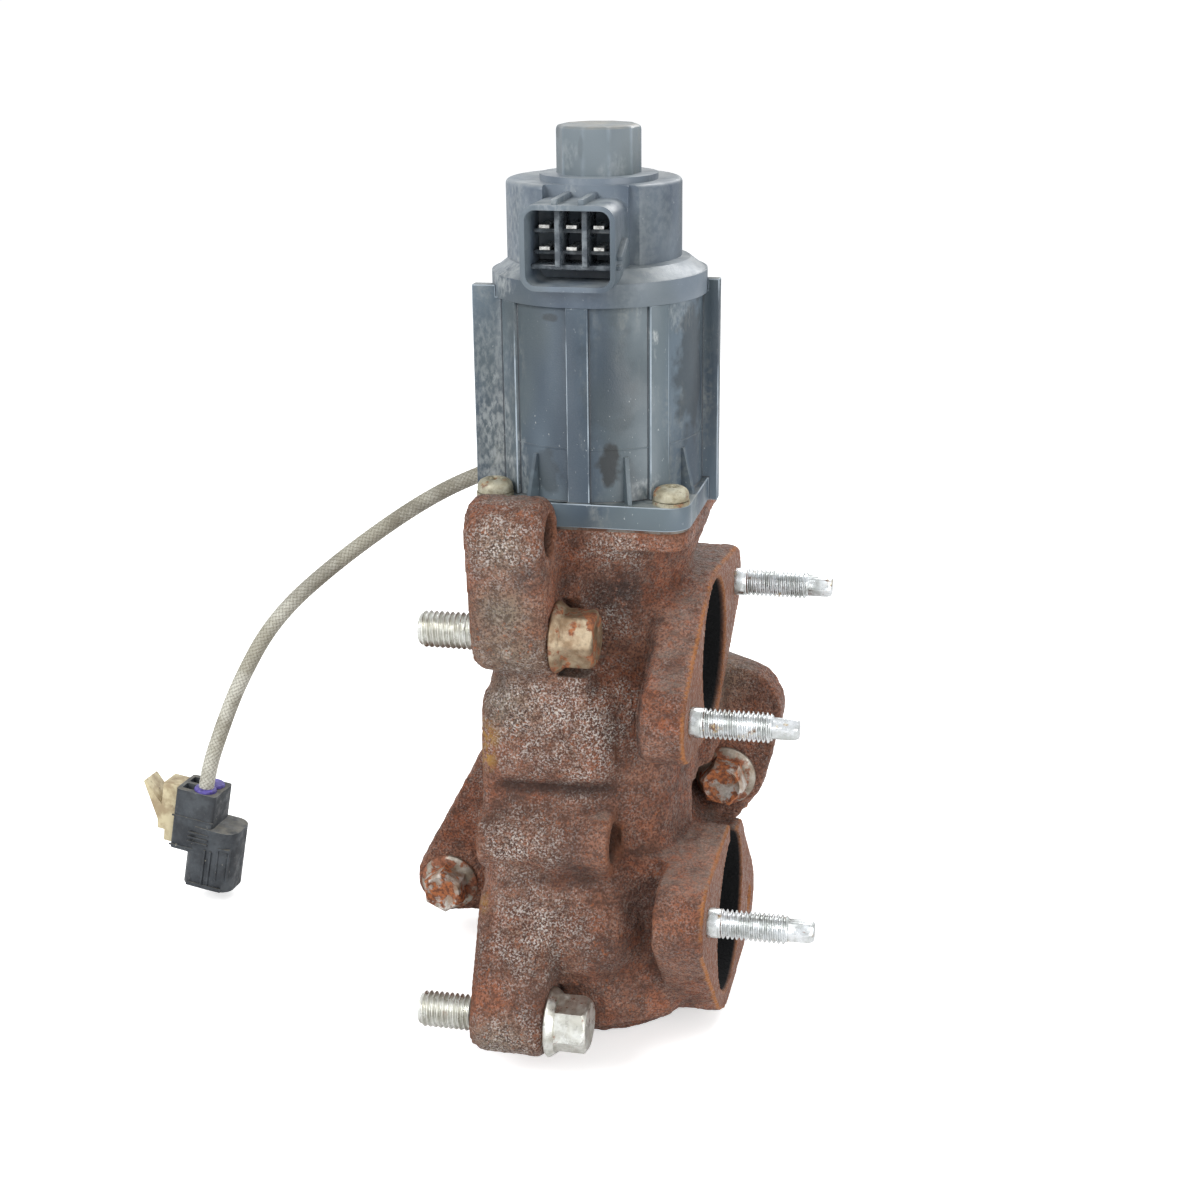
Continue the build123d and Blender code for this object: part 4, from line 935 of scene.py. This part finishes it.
lid_plastic = weathered_plastic(
    "lid_plastic", (64, 76, 90), (104, 115, 126), (160, 166, 168), 0.15,
    smears=((2, -12, 158, 12, upright, 0.3), (4, -18, 149, 7, (1, 1, 1), 0.35),
            (42, -18, 153, 5, (1, 1, 1), 0.3), (24, -20, 170, 6, (1, 1, 1), 0.25),
            (22, -31, 167, 5, (1, 1, 1), 0.3)))
wear(lid, lid_plastic, "cover_plastic", "upper_cover")
wear(lid_details, lid_plastic, "cover_plastic")
clean_plastic = start_material("shroud_inside", 0.28)
paint((70, 77, 84), ((116, 123, 128), grain(420, 0.42, 0.66)))
roughen(blend_values(0.2, 0.42, grain(600, 0.4, 0.6)))
wear(shroud_walls, clean_plastic, "cover_plastic")


# ---------------- top cap
# Ten-sided plug over the end of the screw, moulded in a slightly paler plastic, dull with fine dust.
def ten_sided(radius, share=1.0):
    step = math.pi / 5
    return lambda angle: share * radius * math.cos(step / 2) / math.cos(angle % step - step / 2)


cap_low, cap_top, cap_r, cap_turn = 173.1, 185.3, 11.1, 8.6
cap_rings = [(ten_sided(cap_r), cap_low), (ten_sided(cap_r), cap_top - 1.3),
             (ten_sided(cap_r, 0.985), cap_top - 0.6), (ten_sided(cap_r, 0.95), cap_top - 0.15),
             (ten_sided(cap_r, 0.91), cap_top), (0.05, cap_top)]
cap_frame = axis_frame @ Matrix.Rotation(math.radians(cap_turn), 4, "Z")
cap = assemble("cap", [lathe(cap_rings, 80)], "housing", cap_frame, 14)
# painted highlight lines down the ten corners of the cap, stored as its edge mark
corner_line = cap.data.attributes.new("edge", "FLOAT", "POINT")
for point, value in zip(cap.data.vertices, corner_line.data):
    bearing = math.degrees(math.atan2(point.co.y, point.co.x - axis_x * mm)) - cap_turn
    value.value = 0.6 if abs((bearing + 18) % 36 - 18) < 2 else 0.0
cap_plastic = weathered_plastic(
    "cap_plastic", (70, 84, 93), (108, 118, 124), (150, 142, 126), 0.4,
    smears=((20, -9, 178, 4, (1, 1, 1), 0.2), (32, -9, 175, 4, (1, 1, 1), 0.2)),
    stains=((16, -4, 184, 2.5, (1, 1, 1), 0.3), (24, -10.6, 180, 1.6, (2, 1, 0.5), 0.15)))
wear(cap, cap_plastic, "cap_plastic", "top_cap")


# ---------------- temperature sensor
# Stainless screw-in body with a crimped ferrule, hidden behind the neck; its probe reaches into the gas.
stainless = start_material("stainless", 0.34, 1.0)
paint((186, 182, 174), ((150, 134, 112), grain(160, 0.4, 0.62)), ((110, 84, 66), grain(420, 0.62, 0.72)))
roughen(blend_values(0.28, 0.5, grain(500, 0.35, 0.65)))
dress(stainless, "sensor_body", "sensor_probe", "spring_retainer", "stem_cotters")
two_tone("copper_washer", 0.42, 1.0, (176, 118, 88), (110, 74, 58), (300, 0.42, 0.62), "sensor_washer")


# ---------------- valve inside the casting
# Stainless seat, poppet, stem and soot shield, brown and black from the gas, sliding in a bronze bush with a
# graphite seal; above them the return spring lifts a retainer held by two split cotters.
sooty = start_material("sooty_steel", 0.55, 1.0)
paint((120, 110, 100), ((66, 58, 52), grain(180, 0.35, 0.6)), ((24, 22, 22), grain(260, 0.45, 0.6)))
roughen(blend_values(0.4, 0.9, grain(260, 0.45, 0.6)))
dress(sooty, "seat_ring", "poppet", "valve_stem", "soot_shield")
two_tone("graphite_packing", 0.6, 0.0, (52, 52, 54), (34, 34, 36), (500, 0.4, 0.6), "stem_seal")
two_tone("sintered_bronze", 0.45, 1.0, (176, 138, 92), (134, 100, 66), (300, 0.4, 0.62), "stem_bush",
         "screw_guide", "rotor_nut")
emboss(grain(4000, 0.35, 0.65), 0.00004, 0.5)
spring_steel = two_tone("spring_steel", 0.33, 1.0, (150, 148, 144), (112, 108, 102), (400, 0.4, 0.62),
                        "wave_washer")
coil = finish_piece("coil_spring", frame["nodes"]["return_spring"].data.copy(), "housing", 60)
wear(coil, spring_steel, "spring_steel", "return_spring")
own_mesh(coil)


# ---------------- motor inside
# Two-stack stepping motor: pressed cores, moulded bobbins wound with enamelled copper, a ferrite rotor bonded
# to its bronze nut, two ball bearings and the ground screw that pushes the stem.
two_tone("ferrite", 0.55, 0.0, (62, 62, 64), (46, 46, 48), (300, 0.4, 0.62), "rotor_magnet")
two_tone("pressed_steel", 0.4, 1.0, (160, 158, 154), (128, 124, 118), (200, 0.4, 0.62), "lower_stator_core",
         "upper_stator_core")
two_tone("natural_nylon", 0.5, 0.0, (222, 216, 200), (200, 192, 170), (200, 0.4, 0.62), "lower_bobbin",
         "upper_bobbin")
two_tone("enamelled_wire", 0.35, 0.9, (178, 96, 54), (132, 62, 32), (900, 0.4, 0.6, 4.0, (0.1, 0.1, 3)),
         "lower_winding", "upper_winding")
emboss(grain(3000, 0.35, 0.65, stretch=(0.05, 0.05, 1)), 0.0001, 0.7)
two_tone("race_steel", 0.18, 1.0, (206, 206, 206), (186, 186, 188), (200, 0.4, 0.62), "lower_bearing_balls",
         "lower_bearing_inner", "lower_bearing_outer", "upper_bearing_balls", "upper_bearing_inner",
         "upper_bearing_outer", "lead_screw")


# ---------------- floor, backdrop and lamps
# A pale floor under the part, a white room round it, and three large soft lamps.
floor_wide, floor_below, floor_glow = 80, 0.0005, 0.55      # metres, metres, brightness to the camera
low_corner = min(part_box(name)[0].z for name in frame["nodes"])
bpy.ops.mesh.primitive_plane_add(size=floor_wide, location=(0, 0, low_corner - floor_below))
floor = bpy.context.object
floor.name = "floor"
white_floor = start_material("white_floor", 1.0)
skin.inputs["Base Color"].default_value = (0.92, 0.92, 0.92, 1)
skin.inputs["Specular IOR Level"].default_value = 0.0
skin.inputs["Emission Color"].default_value = (1, 1, 1, 1)
tree.links.new(times(place("ShaderNodeLightPath").outputs["Is Camera Ray"], floor_glow),
               skin.inputs["Emission Strength"])
floor.data.materials.append(white_floor)

world = bpy.data.worlds.new("room")
bpy.context.scene.world = world
world.use_nodes = True
tree = world.node_tree
glow = tree.nodes["Background"]
glow.inputs["Color"].default_value = (0.97, 0.985, 1.0, 1)
paths = place("ShaderNodeLightPath")
seen = either(paths.outputs["Is Camera Ray"], paths.outputs["Is Transmission Ray"])
seen = either(seen, paths.outputs["Is Glossy Ray"])
room_light, room_seen = 0.55, 1.0                           # on the part, and behind it
tree.links.new(blend_values(room_light, room_seen, seen), glow.inputs["Strength"])

part_middle = Vector((0.005, 0.0, 0.06))
for name, spot, size, power in (("key", (-0.55, -0.75, 0.75), 0.7, 9.0), ("fill", (0.8, -0.6, 0.3), 0.8, 5.0),
                                ("rim", (0.3, 0.7, 0.7), 0.6, 5.0)):
    lamp = bpy.data.lights.new(name, "AREA")
    lamp.shape = "DISK"
    lamp.size = size
    lamp.energy = power
    holder = bpy.data.objects.new(name, lamp)
    holder.location = spot
    holder.rotation_euler = (part_middle - Vector(spot)).to_track_quat("-Z", "Y").to_euler()
    bpy.context.scene.collection.objects.link(holder)

bpy.context.scene.view_settings.view_transform = "Standard"
